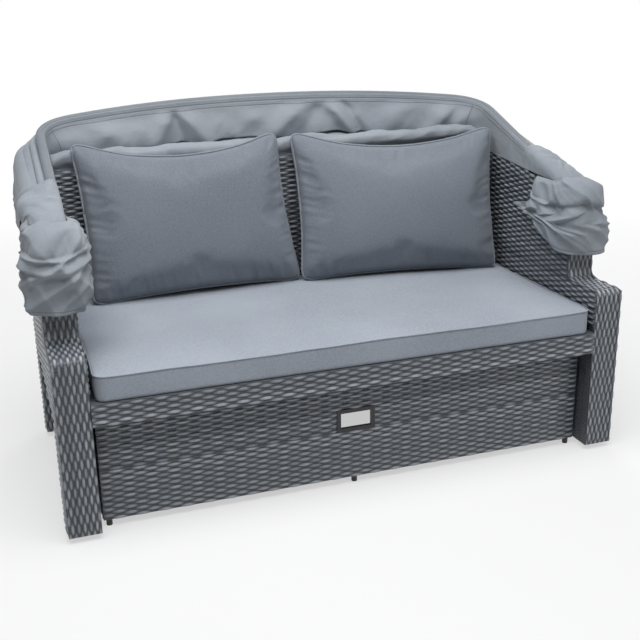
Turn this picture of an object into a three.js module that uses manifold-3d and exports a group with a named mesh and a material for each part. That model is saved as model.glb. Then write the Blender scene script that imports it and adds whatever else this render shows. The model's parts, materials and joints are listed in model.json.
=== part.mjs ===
// Outdoor daybed with a folding canopy and a pull-out ottoman
// Millimetres, +Z up, +X to the sitter's left, the seat faces -Y.
// The canopy is folded back over the backrest and the ottoman is pushed in under the seat.

import * as THREE from 'three';
import { mergeVertices } from 'three/addons/utils/BufferGeometryUtils.js';
import Module from 'manifold-3d';

const wasm = await Module();
wasm.setup();

// Clearances
const gap = 0.3; // between pieces that touch
const overrun = 4; // how far a cut passes the face that it opens

// Side walls, from the front of the arms (y = 0) to the back
const armSpan = 1650; // over the outer faces of both arms
const armThickness = 87;
const armHeight = 510;
const armFlat = 130; // level top of the arm, up to the sweep
const sweepRadius = 30; // hollow sweep from the arm up into the high side
const armEdgeRadius = 14;
const frameDepth = 770;
const legDepth = 100;
const rearLegDepth = 70;
const legBottom = 17; // the woven legs end this high above the ground
const sideLowerEdge = 320; // underside of the thick part, between the legs
const shelfDrop = 95; // from the woven back's top down to the front of the high side's top
const shelfLength = 110; // level part that carries the canopy pivot
const sideRearRise = 9; // from the woven back's top to the high side's rear end
const weave = 4; // thickness of the woven skin
const frameTube = 15; // square tube inside the woven sides and back
const spacerCount = 3; // short bars that join the frame's two outlines
const lowerPanelInset = 41; // from the arm's inner face to the thin panel
const lowerPanelThickness = 6;
const lowerRailWidth = 24;
const lowerRailHeight = 25;
const lowerRailBottom = 42;

// Back
const backThickness = 60;
const backHeight = 866;
const backBottom = 45;
const backUprightCount = 3;
const backMouthLength = 120; // slots in the underside of the woven back
const backMouthPlaceShare = 0.6;

// Seat frame
const apronFront = -8; // the apron stands a little in front of the arms
const apronDepth = 45;
const apronBottom = 324;
const deckHeight = 386;
const slatThickness = 5;
const slatWidth = 52;
const slatCount = 7;
const railWidth = 25;
const railBottom = 322;
const railWall = 2;
const strapPlace = 370; // from the middle to each strap that joins the slats
const boltRadius = 4;
const boltHeadRadius = 7;
const boltHeadHeight = 5;
const boltInset = 92; // from each end of a side rail

// Feet
const footRadius = 13;
const footSetback = 45; // front foot, from the arm's front face

// Ottoman
const ottomanSideGap = 11; // from the arm's inner face
const ottomanFront = 56;
const ottomanRearGap = 54; // from the woven back
const ottomanBottom = 22;
const ottomanTop = 312;
const ottomanWall = 6;
const ottomanTube = 18;
const ottomanPostPlace = 245;
const ottomanFootRadius = 8.5;
const handHoleWidth = 92;
const handHoleHeight = 46;
const handHoleMiddle = 203; // height of the middle of the hole
const bezelWall = 2.5;
const bezelFlange = 9;
const bezelFlangeThickness = 3;

// Canopy bows
const pivotPlace = 215; // from the arm's front face
const pivotRise = 19; // from the high side's top
const bowTubeRadius = 9;
const bowPitch = 20; // sideways, from one bow's arm to the next
const bowInset = 13; // from the arm's inner face to the front bow's centre line
const bowCrownShortfall = 48; // pivot line to the middle of a bow: the daybed's depth less this
const bowCrownDrop = 118; // the middle stands this far beyond the bow's shoulders
const bowArmLength = 515; // straight part of each arm
const bowStackAngle = 2.9; // degrees between two folded bows
const frontBowAngle = 19.2; // degrees above the horizontal when folded
const hubRadius = 13;
const pivotBoltRadius = 5;
const pivotClearance = 0.4;
const pivotBoltHead = 4;
const pivotBoltHeadRadius = 8;
const bracketThickness = 4;
const bracketEarRadius = 11;
const bracketBaseLength = 60;
const restLength = 26; // saddle block under the fixed bow's arm
const restPlace = 480; // from the pivot line
const cornerStartShare = 0.86; // of the half width, where the shoulder begins
const archEndShare = 0.5; // of the way from the middle of a bow to its hub
const armEndShare = 0.8; // the same, for the far end of the straight arm
const archPower = 2.2;

// Cloth
const clothThickness = 2;
const sleeveLooseness = 4; // between a bow's tube and the sleeve round it
const clothStartReach = 300; // along each arm, from the pivot line
const flapAngle = 14; // degrees that the side flap hangs below the front bow
const flapInset = 18; // from the front bow's centre line to the flap
const frontHemRise = 58; // the front fold's lower edge at the back, above the woven back
const shoulderHemRise = 31; // the same at the bow's shoulders
const upperHemRise = 56;
const lowerDrop = 165;
const cornerBulge = 16; // how far the outer cloth stands off at the rear corners
const snugShare = 0.92; // the lower bow's sleeve against the other sleeves
const foldDepth = 14;
const foldWave = 6;
const rearPanelSideGap = 26; // from the arm's inner face
const rearPanelDrop = 20; // its lower edge, below the woven back's top
const rearPanelRollRise = 46; // its rolled edge, above the woven back's top
const gatherReach = 296;
const gatherTop = 17;
const gatherRipple = 3.7;
const skirtLength = 183; // from the high side's top
const skirtSwellIn = 40; // how far the cloth stands off the woven side
const skirtSwellOut = 22;
const skirtSwellForward = 50;
const skirtRear = 300;
const skirtPleatCount = 7;

// Cloth sections: turns round a bow's tube in degrees, shares of the drop below it
const frontTurnsDegrees = [-15, 30, 90, 155];
const upperTurnsDegrees = [12, 50, 90, 155];
const lowerTurnsDegrees = [150, 115, 80];
const frontDropShares = [0.2, 0.5, 0.8, 1];
const frontInwardShares = [0.2, 0.5, 0.8, 0.9];
const frontFoldShares = [0, 0.3, 1, 0.9];
const upperDropShares = [0.5, 1];
const lowerDropShares = [0.3, 0.65, 1];
const lowerPleatShares = [0.3, 1, 1.5];
const lowerSideDropShare = 0.8; // over the arms, of the drop at the back
const skirtLevelShares = [0, 0.16, 0.42, 0.75, 1];
const skirtSwellShares = [0.05, 0.4, 0.85, 1, 0.95];

// Cushions
const seatCushionThickness = 67;
const seatCushionFront = -15;
const seatCushionSideGap = 4;
const seatCushionRearGap = 6;
const seatCushionCorner = 75;
const seatCushionRearCorner = 25;
const seatCushionCrown = 9;
const seatCushionPull = 4; // how far the side walls draw in
const backCushionRightGap = 80; // from the right arm's inner face
const backCushionLeftGap = 50; // from the left arm's inner face
const backCushionMiddleGap = 2; // between the two back cushions
const backCushionHeight = 482;
const backCushionThickness = 148;
const backCushionEdge = 8; // thickness at the piped edge
const backCushionPull = 20; // how far each side draws in between its corners
const backCushionTilt = 15; // degrees
const backCushionFootGap = 158.5; // from its lower edge to the woven back

// Places that follow from the sizes
const outerX = armSpan / 2;
const innerX = outerX - armThickness;
const shelfHeight = backHeight - shelfDrop;
const sideRearHeight = backHeight + sideRearRise;
const railTop = deckHeight - slatThickness - gap;
const backFront = frameDepth - backThickness;
const apronRear = apronFront + apronDepth;
const degrees = Math.PI / 180;
const pivotHeight = shelfHeight + pivotRise;
const bowCrown = frameDepth - bowCrownShortfall;
const frontBowHalfWidth = innerX + bowInset;
const pitchedX = (place) => frontBowHalfWidth + place * bowPitch;
const hubWidth = bowPitch - gap; // the hubs lie side by side on the bolt
const backCushionGaps = backCushionRightGap + backCushionMiddleGap + backCushionLeftGap;
const backCushionWidth = innerX - backCushionGaps / 2;
const backCushionFootPlace = backFront - backCushionFootGap;

// Finishes
const finish = (color, roughness, metalness = 0) => () =>
  new THREE.MeshStandardMaterial({ color, roughness, metalness });
const wicker = finish(0x4b4f58, 0.55);
const frameMetal = finish(0x2b2d30, 0.45, 0.6);
const bowMetal = finish(0x3a3c40, 0.4, 0.7);
const steel = finish(0x8c8f94, 0.35, 0.9);
const blackPlastic = finish(0x151617, 0.5);
const canopyCloth = finish(0x8f98a3, 0.8);
const cushionCloth = finish(0x767d89, 0.9);

const daybed = new THREE.Group();

function addPiece(name, geometry, material) {
  const mesh = new THREE.Mesh(geometry, material());
  mesh.name = name;
  daybed.add(mesh);
}

// Solids for joining and cutting
function solid(geometry) {
  const bare = geometry.clone();
  bare.deleteAttribute('normal');
  bare.deleteAttribute('uv');
  const merged = mergeVertices(bare);
  const vertProperties = new Float32Array(merged.attributes.position.array);
  const triVerts = new Uint32Array(merged.index.array);
  return new wasm.Manifold(new wasm.Mesh({ numProp: 3, vertProperties, triVerts }));
}

function geometryOf(body) {
  const mesh = body.getMesh();
  const geometry = new THREE.BufferGeometry();
  geometry.setAttribute('position', new THREE.BufferAttribute(mesh.vertProperties, 3));
  geometry.setIndex(new THREE.BufferAttribute(mesh.triVerts, 1));
  return geometry;
}

const joined = (bodies) => geometryOf(bodies.reduce((all, body) => all.add(body)));

function block(x, y, z) {
  const geometry = new THREE.BoxGeometry(x[1] - x[0], y[1] - y[0], z[1] - z[0]);
  return geometry.translate((x[0] + x[1]) / 2, (y[0] + y[1]) / 2, (z[0] + z[1]) / 2);
}

const blockSolid = (x, y, z) => solid(block(x, y, z));

// A rectangular tube, open at both ends of its run along one axis
function boxTube(x, y, z, wall, axis) {
  const ranges = [x, y, z];
  const bore = ranges.map((range, index) => {
    const change = index === axis ? -overrun : wall;
    return [range[0] + change, range[1] - change];
  });
  return blockSolid(...ranges).subtract(blockSolid(...bore));
}

// An outline in the side view, drawn as (y, z), spread from x0 to x1
function sideSlab(outline, x0, x1) {
  const shape = new THREE.Shape(outline);
  const geometry = new THREE.ExtrudeGeometry(shape, { depth: x1 - x0, bevelEnabled: false });
  const turn = new THREE.Matrix4().makeBasis(
    new THREE.Vector3(0, 1, 0),
    new THREE.Vector3(0, 0, 1),
    new THREE.Vector3(1, 0, 0),
  );
  return geometry.applyMatrix4(turn).translate(x0, 0, 0);
}

// A disc or ring about a line along X
function crossRing(x0, x1, y, z, outer, bore, sides) {
  const ring = new THREE.CylinderGeometry(outer, outer, x1 - x0, sides).rotateZ(Math.PI / 2);
  ring.translate((x0 + x1) / 2, y, z);
  if (!bore) {
    return solid(ring);
  }
  const hole = new THREE.CylinderGeometry(bore, bore, x1 - x0 + 2 * overrun, 16);
  hole.rotateZ(Math.PI / 2).translate((x0 + x1) / 2, y, z);
  return solid(ring).subtract(solid(hole));
}

function upright(x, y, z0, z1, radius, sides) {
  const post = new THREE.CylinderGeometry(radius, radius, z1 - z0, sides).rotateX(Math.PI / 2);
  return post.translate(x, y, (z0 + z1) / 2);
}

// Side outline, drawn anticlockwise as (y, z) from the front leg's bottom front corner.
// The tube frame follows it with plain bends where the weave is rounded.
function sideOutline(rounded) {
  const path = new THREE.Path();
  const step = armFlat + sweepRadius;
  const edge = armEdgeRadius;
  const bend = (y, z) => {
    if (rounded) {
      path.absarc(y + edge, z - edge, edge, Math.PI / 2, Math.PI, false);
    } else {
      path.lineTo(y, z - edge);
    }
  };
  path.moveTo(0, legBottom);
  path.lineTo(legDepth, legBottom);
  path.lineTo(legDepth, sideLowerEdge);
  path.lineTo(frameDepth - rearLegDepth, sideLowerEdge);
  path.lineTo(frameDepth - rearLegDepth, legBottom);
  path.lineTo(frameDepth, legBottom);
  path.lineTo(frameDepth, sideRearHeight);
  path.lineTo(step + shelfLength, shelfHeight);
  path.lineTo(step + edge, shelfHeight);
  bend(step, shelfHeight);
  if (rounded) {
    path.lineTo(step, armHeight + sweepRadius);
    path.absarc(armFlat, armHeight + sweepRadius, sweepRadius, 0, -Math.PI / 2, true);
  } else {
    path.lineTo(step, armHeight);
  }
  path.lineTo(edge, armHeight);
  bend(0, armHeight);
  const points = [];
  for (const point of path.getPoints(4)) {
    const last = points[points.length - 1];
    if (!last || last.distanceTo(point) > gap) {
      points.push(point);
    }
  }
  return points;
}

// The same outline drawn in by a distance, each edge moved square to itself
function drawnIn(points, distance) {
  const count = points.length;
  const edges = points.map((point, index) => {
    const along = points[(index + 1) % count].clone().sub(point).normalize();
    const inward = new THREE.Vector2(-along.y, along.x).multiplyScalar(distance);
    return { start: point.clone().add(inward), along };
  });
  return edges.map((edge, index) => {
    const before = edges[(index + count - 1) % count];
    const cross = before.along.x * edge.along.y - before.along.y * edge.along.x;
    const apart = edge.start.clone().sub(before.start);
    const run = (apart.x * edge.along.y - apart.y * edge.along.x) / cross;
    return before.start.clone().add(before.along.clone().multiplyScalar(run));
  });
}

// Woven sides with the tube frame that they are woven on
const wovenOutline = sideOutline(true);
const frameOutline = sideOutline(false);

function sideShell() {
  const shell = solid(sideSlab(wovenOutline, innerX, outerX));
  const cavity = solid(sideSlab(drawnIn(wovenOutline, weave), innerX + weave, outerX - weave));
  const mouth = (y0, y1) => blockSolid(
    [innerX + 2 * weave, outerX - 2 * weave],
    [y0 + 2 * weave, y1 - 2 * weave],
    [legBottom - overrun, legBottom + 2 * weave],
  );
  let body = shell.subtract(cavity).subtract(mouth(0, legDepth));
  body = body.subtract(mouth(frameDepth - rearLegDepth, frameDepth));
  for (const place of boltPlaces()) {
    body = body.subtract(boltHole(innerX - overrun, innerX + weave + overrun, place));
  }
  return geometryOf(body);
}

function sideFrame() {
  const outer = drawnIn(frameOutline, weave + gap);
  const inner = drawnIn(frameOutline, weave + gap + frameTube);
  const ring = (x0) => solid(sideSlab(outer, x0, x0 + frameTube)).subtract(
    solid(sideSlab(inner, x0 - overrun, x0 + frameTube + overrun)),
  );
  const firstX = innerX + weave + gap;
  const lastX = outerX - weave - gap - frameTube;
  let body = ring(firstX).add(ring(lastX));
  const low = sideLowerEdge + weave + gap;
  const between = frameDepth - rearLegDepth - legDepth;
  for (let index = 0; index < spacerCount; index += 1) {
    const y = legDepth + (between * (index + 0.5)) / spacerCount;
    body = body.add(blockSolid(
      [firstX, lastX + frameTube],
      [y, y + frameTube],
      [low, low + frameTube],
    ));
  }
  const footBar = (y) => blockSolid(
    [firstX, lastX + frameTube],
    [y - frameTube, y + frameTube],
    [legBottom + weave + gap, legBottom + weave + gap + frameTube],
  );
  body = body.add(footBar(footSetback)).add(footBar(frameDepth - rearLegDepth / 2));
  for (const place of boltPlaces()) {
    body = body.subtract(boltHole(innerX, firstX + frameTube + overrun, place));
  }
  return geometryOf(body);
}

function boltPlaces() {
  return [apronRear + boltInset, backFront - railWidth - boltInset];
}

const boltHeight = sideLowerEdge + weave + gap + frameTube / 2;
const boltHole = (x0, x1, y) => crossRing(x0, x1, y, boltHeight, boltRadius + gap, 0, 12);

function sideBolt(y) {
  const headEnd = innerX - gap - railWidth - gap;
  const tip = innerX + weave + gap + frameTube;
  return joined([
    crossRing(headEnd - boltHeadHeight, headEnd, y, boltHeight, boltHeadRadius, 0, 12),
    crossRing(headEnd - boltHeadHeight / 2, tip, y, boltHeight, boltRadius, 0, 12),
  ]);
}

// The thin panel under the arm, woven round a rail at its lower edge
function lowerPanel() {
  const middle = innerX + lowerPanelInset;
  const y = [legDepth + gap, frameDepth - rearLegDepth - gap];
  const sheet = [middle - lowerPanelThickness / 2, middle + lowerPanelThickness / 2];
  const rail = [middle - lowerRailWidth / 2, middle + lowerRailWidth / 2];
  return joined([
    blockSolid(sheet, y, [lowerRailBottom + lowerRailHeight / 2, sideLowerEdge - gap]),
    blockSolid(rail, y, [lowerRailBottom, lowerRailBottom + lowerRailHeight]),
  ]);
}

const sideFoot = (y) => upright((innerX + outerX) / 2, y, 0, legBottom + weave, footRadius, 14);

// A pair of pieces, one on each side
function addPair(name, geometry, material) {
  addPiece(`right_${name}`, mirrored(geometry), material);
  addPiece(`left_${name}`, geometry, material);
}

function mirrored(geometry) {
  const copy = geometry.index ? geometry.toNonIndexed() : geometry.clone();
  copy.deleteAttribute('normal');
  copy.deleteAttribute('uv');
  copy.scale(-1, 1, 1);
  const place = copy.attributes.position;
  for (let index = 0; index < place.count; index += 3) {
    const second = new THREE.Vector3().fromBufferAttribute(place, index + 1);
    const third = new THREE.Vector3().fromBufferAttribute(place, index + 2);
    place.setXYZ(index + 1, third.x, third.y, third.z);
    place.setXYZ(index + 2, second.x, second.y, second.z);
  }
  return mergeVertices(copy);
}

addPair('side_wicker', sideShell(), wicker);
addPair('side_frame', sideFrame(), frameMetal);
boltPlaces().forEach((y, index) => {
  addPair(`side_bolt_${index ? 'rear' : 'front'}`, sideBolt(y), steel);
});
addPair('lower_panel', lowerPanel(), wicker);
addPair('front_foot', sideFoot(footSetback), blackPlastic);
addPair('rear_foot', sideFoot(frameDepth - rearLegDepth / 2), blackPlastic);

// Woven back
function backShell() {
  const half = innerX - gap;
  const body = boxTube([-half, half], [backFront, frameDepth], [backBottom, backHeight], weave, 0);
  const end = (x0, x1) => blockSolid([x0, x1], [backFront, frameDepth], [backBottom, backHeight]);
  let closed = body.add(end(-half, -half + weave)).add(end(half - weave, half));
  const place = half * backMouthPlaceShare;
  for (const x of [-place, place]) {
    closed = closed.subtract(blockSolid(
      [x - backMouthLength / 2, x + backMouthLength / 2],
      [backFront + 3 * weave, frameDepth - 3 * weave],
      [backBottom - overrun, backBottom + weave + overrun],
    ));
  }
  return geometryOf(closed);
}

function backFrame() {
  const half = innerX - gap - weave - gap;
  const y = [backFront + weave + gap, backFront + weave + gap + frameTube];
  const low = backBottom + weave + gap;
  const high = backHeight - weave - gap;
  const bars = [
    blockSolid([-half, half], y, [low, low + frameTube]),
    blockSolid([-half, half], y, [high - frameTube, high]),
    blockSolid([-half, -half + frameTube], y, [low, high]),
    blockSolid([half - frameTube, half], y, [low, high]),
  ];
  for (let index = 1; index <= backUprightCount; index += 1) {
    const x = -half + (2 * half * index) / (backUprightCount + 1);
    bars.push(blockSolid([x - frameTube / 2, x + frameTube / 2], y, [low, high]));
  }
  return joined(bars);
}

addPiece('back_wicker', backShell(), wicker);
addPiece('back_frame', backFrame(), frameMetal);

// Seat frame and deck
function seatFrame() {
  const half = innerX - gap;
  const rearRail = backFront - gap - railWidth;
  const run = [apronRear + gap, rearRail - gap];
  const apron = boxTube([-half, half], [apronFront, apronRear], [apronBottom, deckHeight], weave, 0);
  addPiece('front_apron', geometryOf(apron), wicker);
  const inside = weave + gap;
  const frontRail = boxTube(
    [-half, half],
    [apronFront + inside, apronRear - inside],
    [apronBottom + inside, deckHeight - inside],
    railWall,
    0,
  );
  addPiece('seat_front_rail', geometryOf(frontRail), frameMetal);
  const rear = boxTube([-half, half], [rearRail, backFront - gap], [railBottom, railTop], railWall, 0);
  addPiece('seat_rear_rail', geometryOf(rear), frameMetal);
  let sideRail = boxTube([half - railWidth, half], run, [railBottom, railTop], railWall, 1);
  for (const place of boltPlaces()) {
    sideRail = sideRail.subtract(boltHole(half - railWidth - overrun, half + overrun, place));
  }
  addPair('seat_side_rail', geometryOf(sideRail), frameMetal);
  const bearer = boxTube([-railWidth / 2, railWidth / 2], run, [railBottom, railTop], railWall, 1);
  addPiece('seat_bearer', geometryOf(bearer), frameMetal);
  const deck = [railTop + gap, deckHeight];
  const deckRun = [run[0], backFront - gap];
  const bars = [-strapPlace, strapPlace].map((x) => (
    blockSolid([x - slatWidth / 2, x + slatWidth / 2], deckRun, deck)
  ));
  for (let index = 0; index < slatCount; index += 1) {
    const pitch = (deckRun[1] - deckRun[0] - slatWidth) / (slatCount - 1);
    const y = deckRun[0] + pitch * index;
    bars.push(blockSolid([-half, half], [y, y + slatWidth], deck));
  }
  addPiece('seat_deck', joined(bars), frameMetal);
}

seatFrame();

// Ottoman
function ottomanPieces() {
  const half = innerX - ottomanSideGap;
  const rear = backFront - ottomanRearGap;
  const top = ottomanTop - ottomanWall;
  const wallTop = top - gap;
  const walls = [ottomanBottom, wallTop];
  const holeX = [-handHoleWidth / 2 - bezelWall - gap, handHoleWidth / 2 + bezelWall + gap];
  const holeZ = [
    handHoleMiddle - handHoleHeight / 2 - bezelWall - gap,
    handHoleMiddle + handHoleHeight / 2 + bezelWall + gap,
  ];
  const front = blockSolid([-half, half], [ottomanFront, ottomanFront + ottomanWall], walls).subtract(
    blockSolid(holeX, [ottomanFront - overrun, ottomanFront + ottomanWall + overrun], holeZ),
  );
  addPiece('ottoman_front', geometryOf(front), wicker);
  addPiece('ottoman_rear', block([-half, half], [rear - ottomanWall, rear], walls), wicker);
  const between = [ottomanFront + ottomanWall + gap, rear - ottomanWall - gap];
  addPair('ottoman_side', block([half - ottomanWall, half], between, walls), wicker);
  addPiece('ottoman_top', block([-half, half], [ottomanFront, rear], [top, ottomanTop]), wicker);
  const bezelX = [holeX[0] + gap, holeX[1] - gap];
  const bezelZ = [holeZ[0] + gap, holeZ[1] - gap];
  const flangeFront = ottomanFront - gap - bezelFlangeThickness;
  const bezel = blockSolid(
    [bezelX[0] - bezelFlange, bezelX[1] + bezelFlange],
    [flangeFront, ottomanFront - gap],
    [bezelZ[0] - bezelFlange, bezelZ[1] + bezelFlange],
  )
    .add(blockSolid(bezelX, [flangeFront, ottomanFront + ottomanWall], bezelZ))
    .subtract(blockSolid(
      [bezelX[0] + bezelWall, bezelX[1] - bezelWall],
      [flangeFront - overrun, ottomanFront + ottomanWall + overrun],
      [bezelZ[0] + bezelWall, bezelZ[1] - bezelWall],
    ));
  addPiece('hand_hole_frame', geometryOf(bezel), blackPlastic);
  const frameHalf = half - ottomanWall - gap;
  const low = ottomanBottom + weave;
  const levels = [[low, low + ottomanTube], [wallTop - ottomanTube, wallTop]];
  const bars = [];
  for (const level of levels) {
    bars.push(blockSolid([-frameHalf, frameHalf], [between[0], between[0] + ottomanTube], level));
    bars.push(blockSolid([-frameHalf, frameHalf], [between[1] - ottomanTube, between[1]], level));
    for (const x of [-frameHalf, frameHalf - ottomanTube]) {
      bars.push(blockSolid([x, x + ottomanTube], between, level));
    }
  }
  const posts = [-frameHalf, -ottomanPostPlace, ottomanPostPlace, frameHalf - ottomanTube];
  for (const x of posts) {
    for (const y of [between[0], between[1] - ottomanTube]) {
      bars.push(blockSolid([x, x + ottomanTube], [y, y + ottomanTube], [low, wallTop]));
    }
  }
  for (const x of [-ottomanPostPlace, ottomanPostPlace]) {
    bars.push(blockSolid([x, x + ottomanTube], between, levels[1]));
  }
  addPiece('ottoman_frame', joined(bars), frameMetal);
  const footX = frameHalf - ottomanTube / 2;
  const footY = [between[0] + ottomanTube / 2, between[1] - ottomanTube / 2];
  ['front', 'rear'].forEach((end, index) => {
    const foot = (x) => upright(x, footY[index], 0, low - gap, ottomanFootRadius, 12);
    addPair(`ottoman_${end}_foot`, foot(footX), blackPlastic);
    addPiece(`ottoman_${end}_middle_foot`, foot(0), blackPlastic);
  });
}

ottomanPieces();

// Canopy bows: each is one tube bent in a plane through the pivot line.
// A point on a bow, as x and the distance from the pivot line, for t from -1 to 1
function bowPoint(t, halfWidth) {
  const archEnd = archEndShare;
  const cornerEnd = armEndShare;
  const side = Math.sign(t) || 1;
  const place = Math.abs(t);
  const turnX = halfWidth * cornerStartShare;
  const archHeight = (x) => bowCrown - bowCrownDrop * (x / halfWidth) ** archPower;
  if (place <= archEnd) {
    const x = (turnX * place) / archEnd;
    return new THREE.Vector2(side * x, archHeight(x));
  }
  if (place <= cornerEnd) {
    const u = (place - archEnd) / (cornerEnd - archEnd);
    const start = new THREE.Vector2(turnX, archHeight(turnX));
    const slope = ((archPower * bowCrownDrop) / halfWidth) * cornerStartShare ** (archPower - 1);
    const middle = new THREE.Vector2(halfWidth, start.y - slope * (halfWidth - turnX));
    const end = new THREE.Vector2(halfWidth, bowArmLength);
    const first = start.lerp(middle, u);
    const point = first.lerp(middle.clone().lerp(end, u), u);
    return new THREE.Vector2(side * point.x, point.y);
  }
  const u = (place - cornerEnd) / (1 - cornerEnd);
  const armStart = bracketEarRadius + gap;
  return new THREE.Vector2(side * halfWidth, bowArmLength + (armStart - bowArmLength) * u);
}

// From a bow's own plane to the daybed: x, distance from the pivot line, height over the plane
function onPlane(x, reach, lift, angle) {
  const turn = angle * degrees;
  return new THREE.Vector3(
    x,
    pivotPlace + reach * Math.cos(turn) - lift * Math.sin(turn),
    pivotHeight + reach * Math.sin(turn) + lift * Math.cos(turn),
  );
}

class BowCurve extends THREE.Curve {
  constructor(halfWidth, angle) {
    super();
    this.halfWidth = halfWidth;
    this.angle = angle;
  }

  getPoint(t) {
    const point = bowPoint(2 * t - 1, this.halfWidth);
    return onPlane(point.x, point.y, 0, this.angle);
  }

  // Stations follow the bend, not the length
  getUtoTmapping(u) {
    return u;
  }
}

function bow(place, angle) {
  const halfWidth = pitchedX(place);
  const section = new THREE.Shape();
  section.absarc(0, 0, bowTubeRadius, 0, 2 * Math.PI, false);
  const tube = new THREE.ExtrudeGeometry(section, {
    steps: 26,
    curveSegments: 4,
    extrudePath: new BowCurve(halfWidth, angle),
  });
  const hub = (x) => crossRing(
    x - hubWidth / 2, x + hubWidth / 2, pivotPlace, pivotHeight, hubRadius, 0, 16,
  );
  const bore = (x) => crossRing(
    x - hubWidth, x + hubWidth, pivotPlace, pivotHeight, pivotBoltRadius + pivotClearance, 0, 16,
  );
  const hubbed = solid(tube).add(hub(halfWidth)).add(hub(-halfWidth));
  return geometryOf(hubbed.subtract(bore(halfWidth)).subtract(bore(-halfWidth)));
}

const bowAngles = [0, 1, 2, 3].map((place) => frontBowAngle - place * bowStackAngle);
const bowNames = ['front_bow', 'upper_bow', 'lower_bow', 'rear_bow'];
bowNames.forEach((name, place) => {
  addPiece(`canopy_${name}`, bow(place, bowAngles[place]), bowMetal);
});

// Pivot hardware, on top of each high side
const earInner = frontBowHalfWidth - hubWidth / 2 - gap - bracketThickness;
const earOuter = pitchedX(3) + hubWidth / 2 + gap;

function pivotBracket() {
  const base = shelfHeight + gap;
  const foot = blockSolid(
    [earInner, earOuter + bracketThickness],
    [pivotPlace - bracketBaseLength / 2, pivotPlace + bracketBaseLength / 2],
    [base, base + bracketThickness / 2],
  );
  const ear = (x) => blockSolid(
    [x, x + bracketThickness],
    [pivotPlace - bracketEarRadius, pivotPlace + bracketEarRadius],
    [base, pivotHeight],
  ).add(crossRing(x, x + bracketThickness, pivotPlace, pivotHeight, bracketEarRadius, 0, 16));
  const bore = crossRing(
    earInner - overrun,
    earOuter + bracketThickness + overrun,
    pivotPlace,
    pivotHeight,
    pivotBoltRadius + gap,
    0,
    16,
  );
  return geometryOf(foot.add(ear(earInner)).add(ear(earOuter)).subtract(bore));
}

function pivotBolt() {
  const headEnd = earInner - gap;
  const tip = earOuter + bracketThickness + gap + 2 * pivotBoltHead;
  return joined([
    crossRing(headEnd - pivotBoltHead, headEnd, pivotPlace, pivotHeight, pivotBoltHeadRadius, 0, 16),
    crossRing(headEnd - pivotBoltHead / 2, tip, pivotPlace, pivotHeight, pivotBoltRadius, 0, 16),
  ]);
}

function pivotNut() {
  const start = earOuter + bracketThickness + gap;
  const bore = pivotBoltRadius + gap;
  return geometryOf(
    crossRing(start, start + pivotBoltHead, pivotPlace, pivotHeight, pivotBoltHeadRadius, bore, 6),
  );
}

// Saddle block between the high side's top and the fixed rear bow's arm
function bowRest() {
  const slope = (sideRearHeight - shelfHeight) / (frameDepth - armFlat - sweepRadius - shelfLength);
  const topOfSide = (y) => sideRearHeight - slope * (frameDepth - y);
  const corner = (y, z) => new THREE.Vector2(y, z);
  const underside = (reach) => onPlane(0, reach, -bowTubeRadius - gap, bowAngles[3]);
  const first = underside(restPlace);
  const last = underside(restPlace + restLength);
  const shape = [
    corner(first.y, topOfSide(first.y) + 2 * gap),
    corner(last.y, topOfSide(last.y) + 2 * gap),
    corner(last.y, last.z),
    corner(first.y, first.z),
  ];
  return sideSlab(shape, pitchedX(3) - bowTubeRadius, pitchedX(3) + bowTubeRadius);
}

addPair('pivot_bracket', pivotBracket(), steel);
addPair('pivot_bolt', pivotBolt(), steel);
addPair('pivot_nut', pivotNut(), steel);
addPair('bow_rest', bowRest(), blackPlastic);

// Cloth: a grid of points, thickened by half the cloth's thickness to each side
function clothSolid(rows, thickness = clothThickness) {
  const high = rows.length;
  const wide = rows[0].length;
  const normalAt = (i, j) => {
    const up = rows[Math.min(i + 1, high - 1)][j].clone().sub(rows[Math.max(i - 1, 0)][j]);
    const across = rows[i][Math.min(j + 1, wide - 1)].clone().sub(rows[i][Math.max(j - 1, 0)]);
    return across.cross(up).normalize().multiplyScalar(thickness / 2);
  };
  const positions = [];
  for (const side of [1, -1]) {
    for (let i = 0; i < high; i += 1) {
      for (let j = 0; j < wide; j += 1) {
        const point = rows[i][j].clone().addScaledVector(normalAt(i, j), side);
        positions.push(point.x, point.y, point.z);
      }
    }
  }
  const at = (side, i, j) => side * high * wide + i * wide + j;
  const index = [];
  const quad = (a, b, c, d) => index.push(a, b, c, a, c, d);
  for (let i = 0; i + 1 < high; i += 1) {
    for (let j = 0; j + 1 < wide; j += 1) {
      quad(at(0, i, j), at(0, i, j + 1), at(0, i + 1, j + 1), at(0, i + 1, j));
      quad(at(1, i, j), at(1, i + 1, j), at(1, i + 1, j + 1), at(1, i, j + 1));
    }
    quad(at(1, i, 0), at(0, i, 0), at(0, i + 1, 0), at(1, i + 1, 0));
    quad(at(0, i, wide - 1), at(1, i, wide - 1), at(1, i + 1, wide - 1), at(0, i + 1, wide - 1));
  }
  for (let j = 0; j + 1 < wide; j += 1) {
    quad(at(0, 0, j), at(1, 0, j), at(1, 0, j + 1), at(0, 0, j + 1));
    quad(at(1, high - 1, j), at(0, high - 1, j), at(0, high - 1, j + 1), at(1, high - 1, j + 1));
  }
  const geometry = new THREE.BufferGeometry();
  geometry.setAttribute('position', new THREE.Float32BufferAttribute(positions, 3));
  geometry.setIndex(index);
  return geometry;
}

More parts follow.
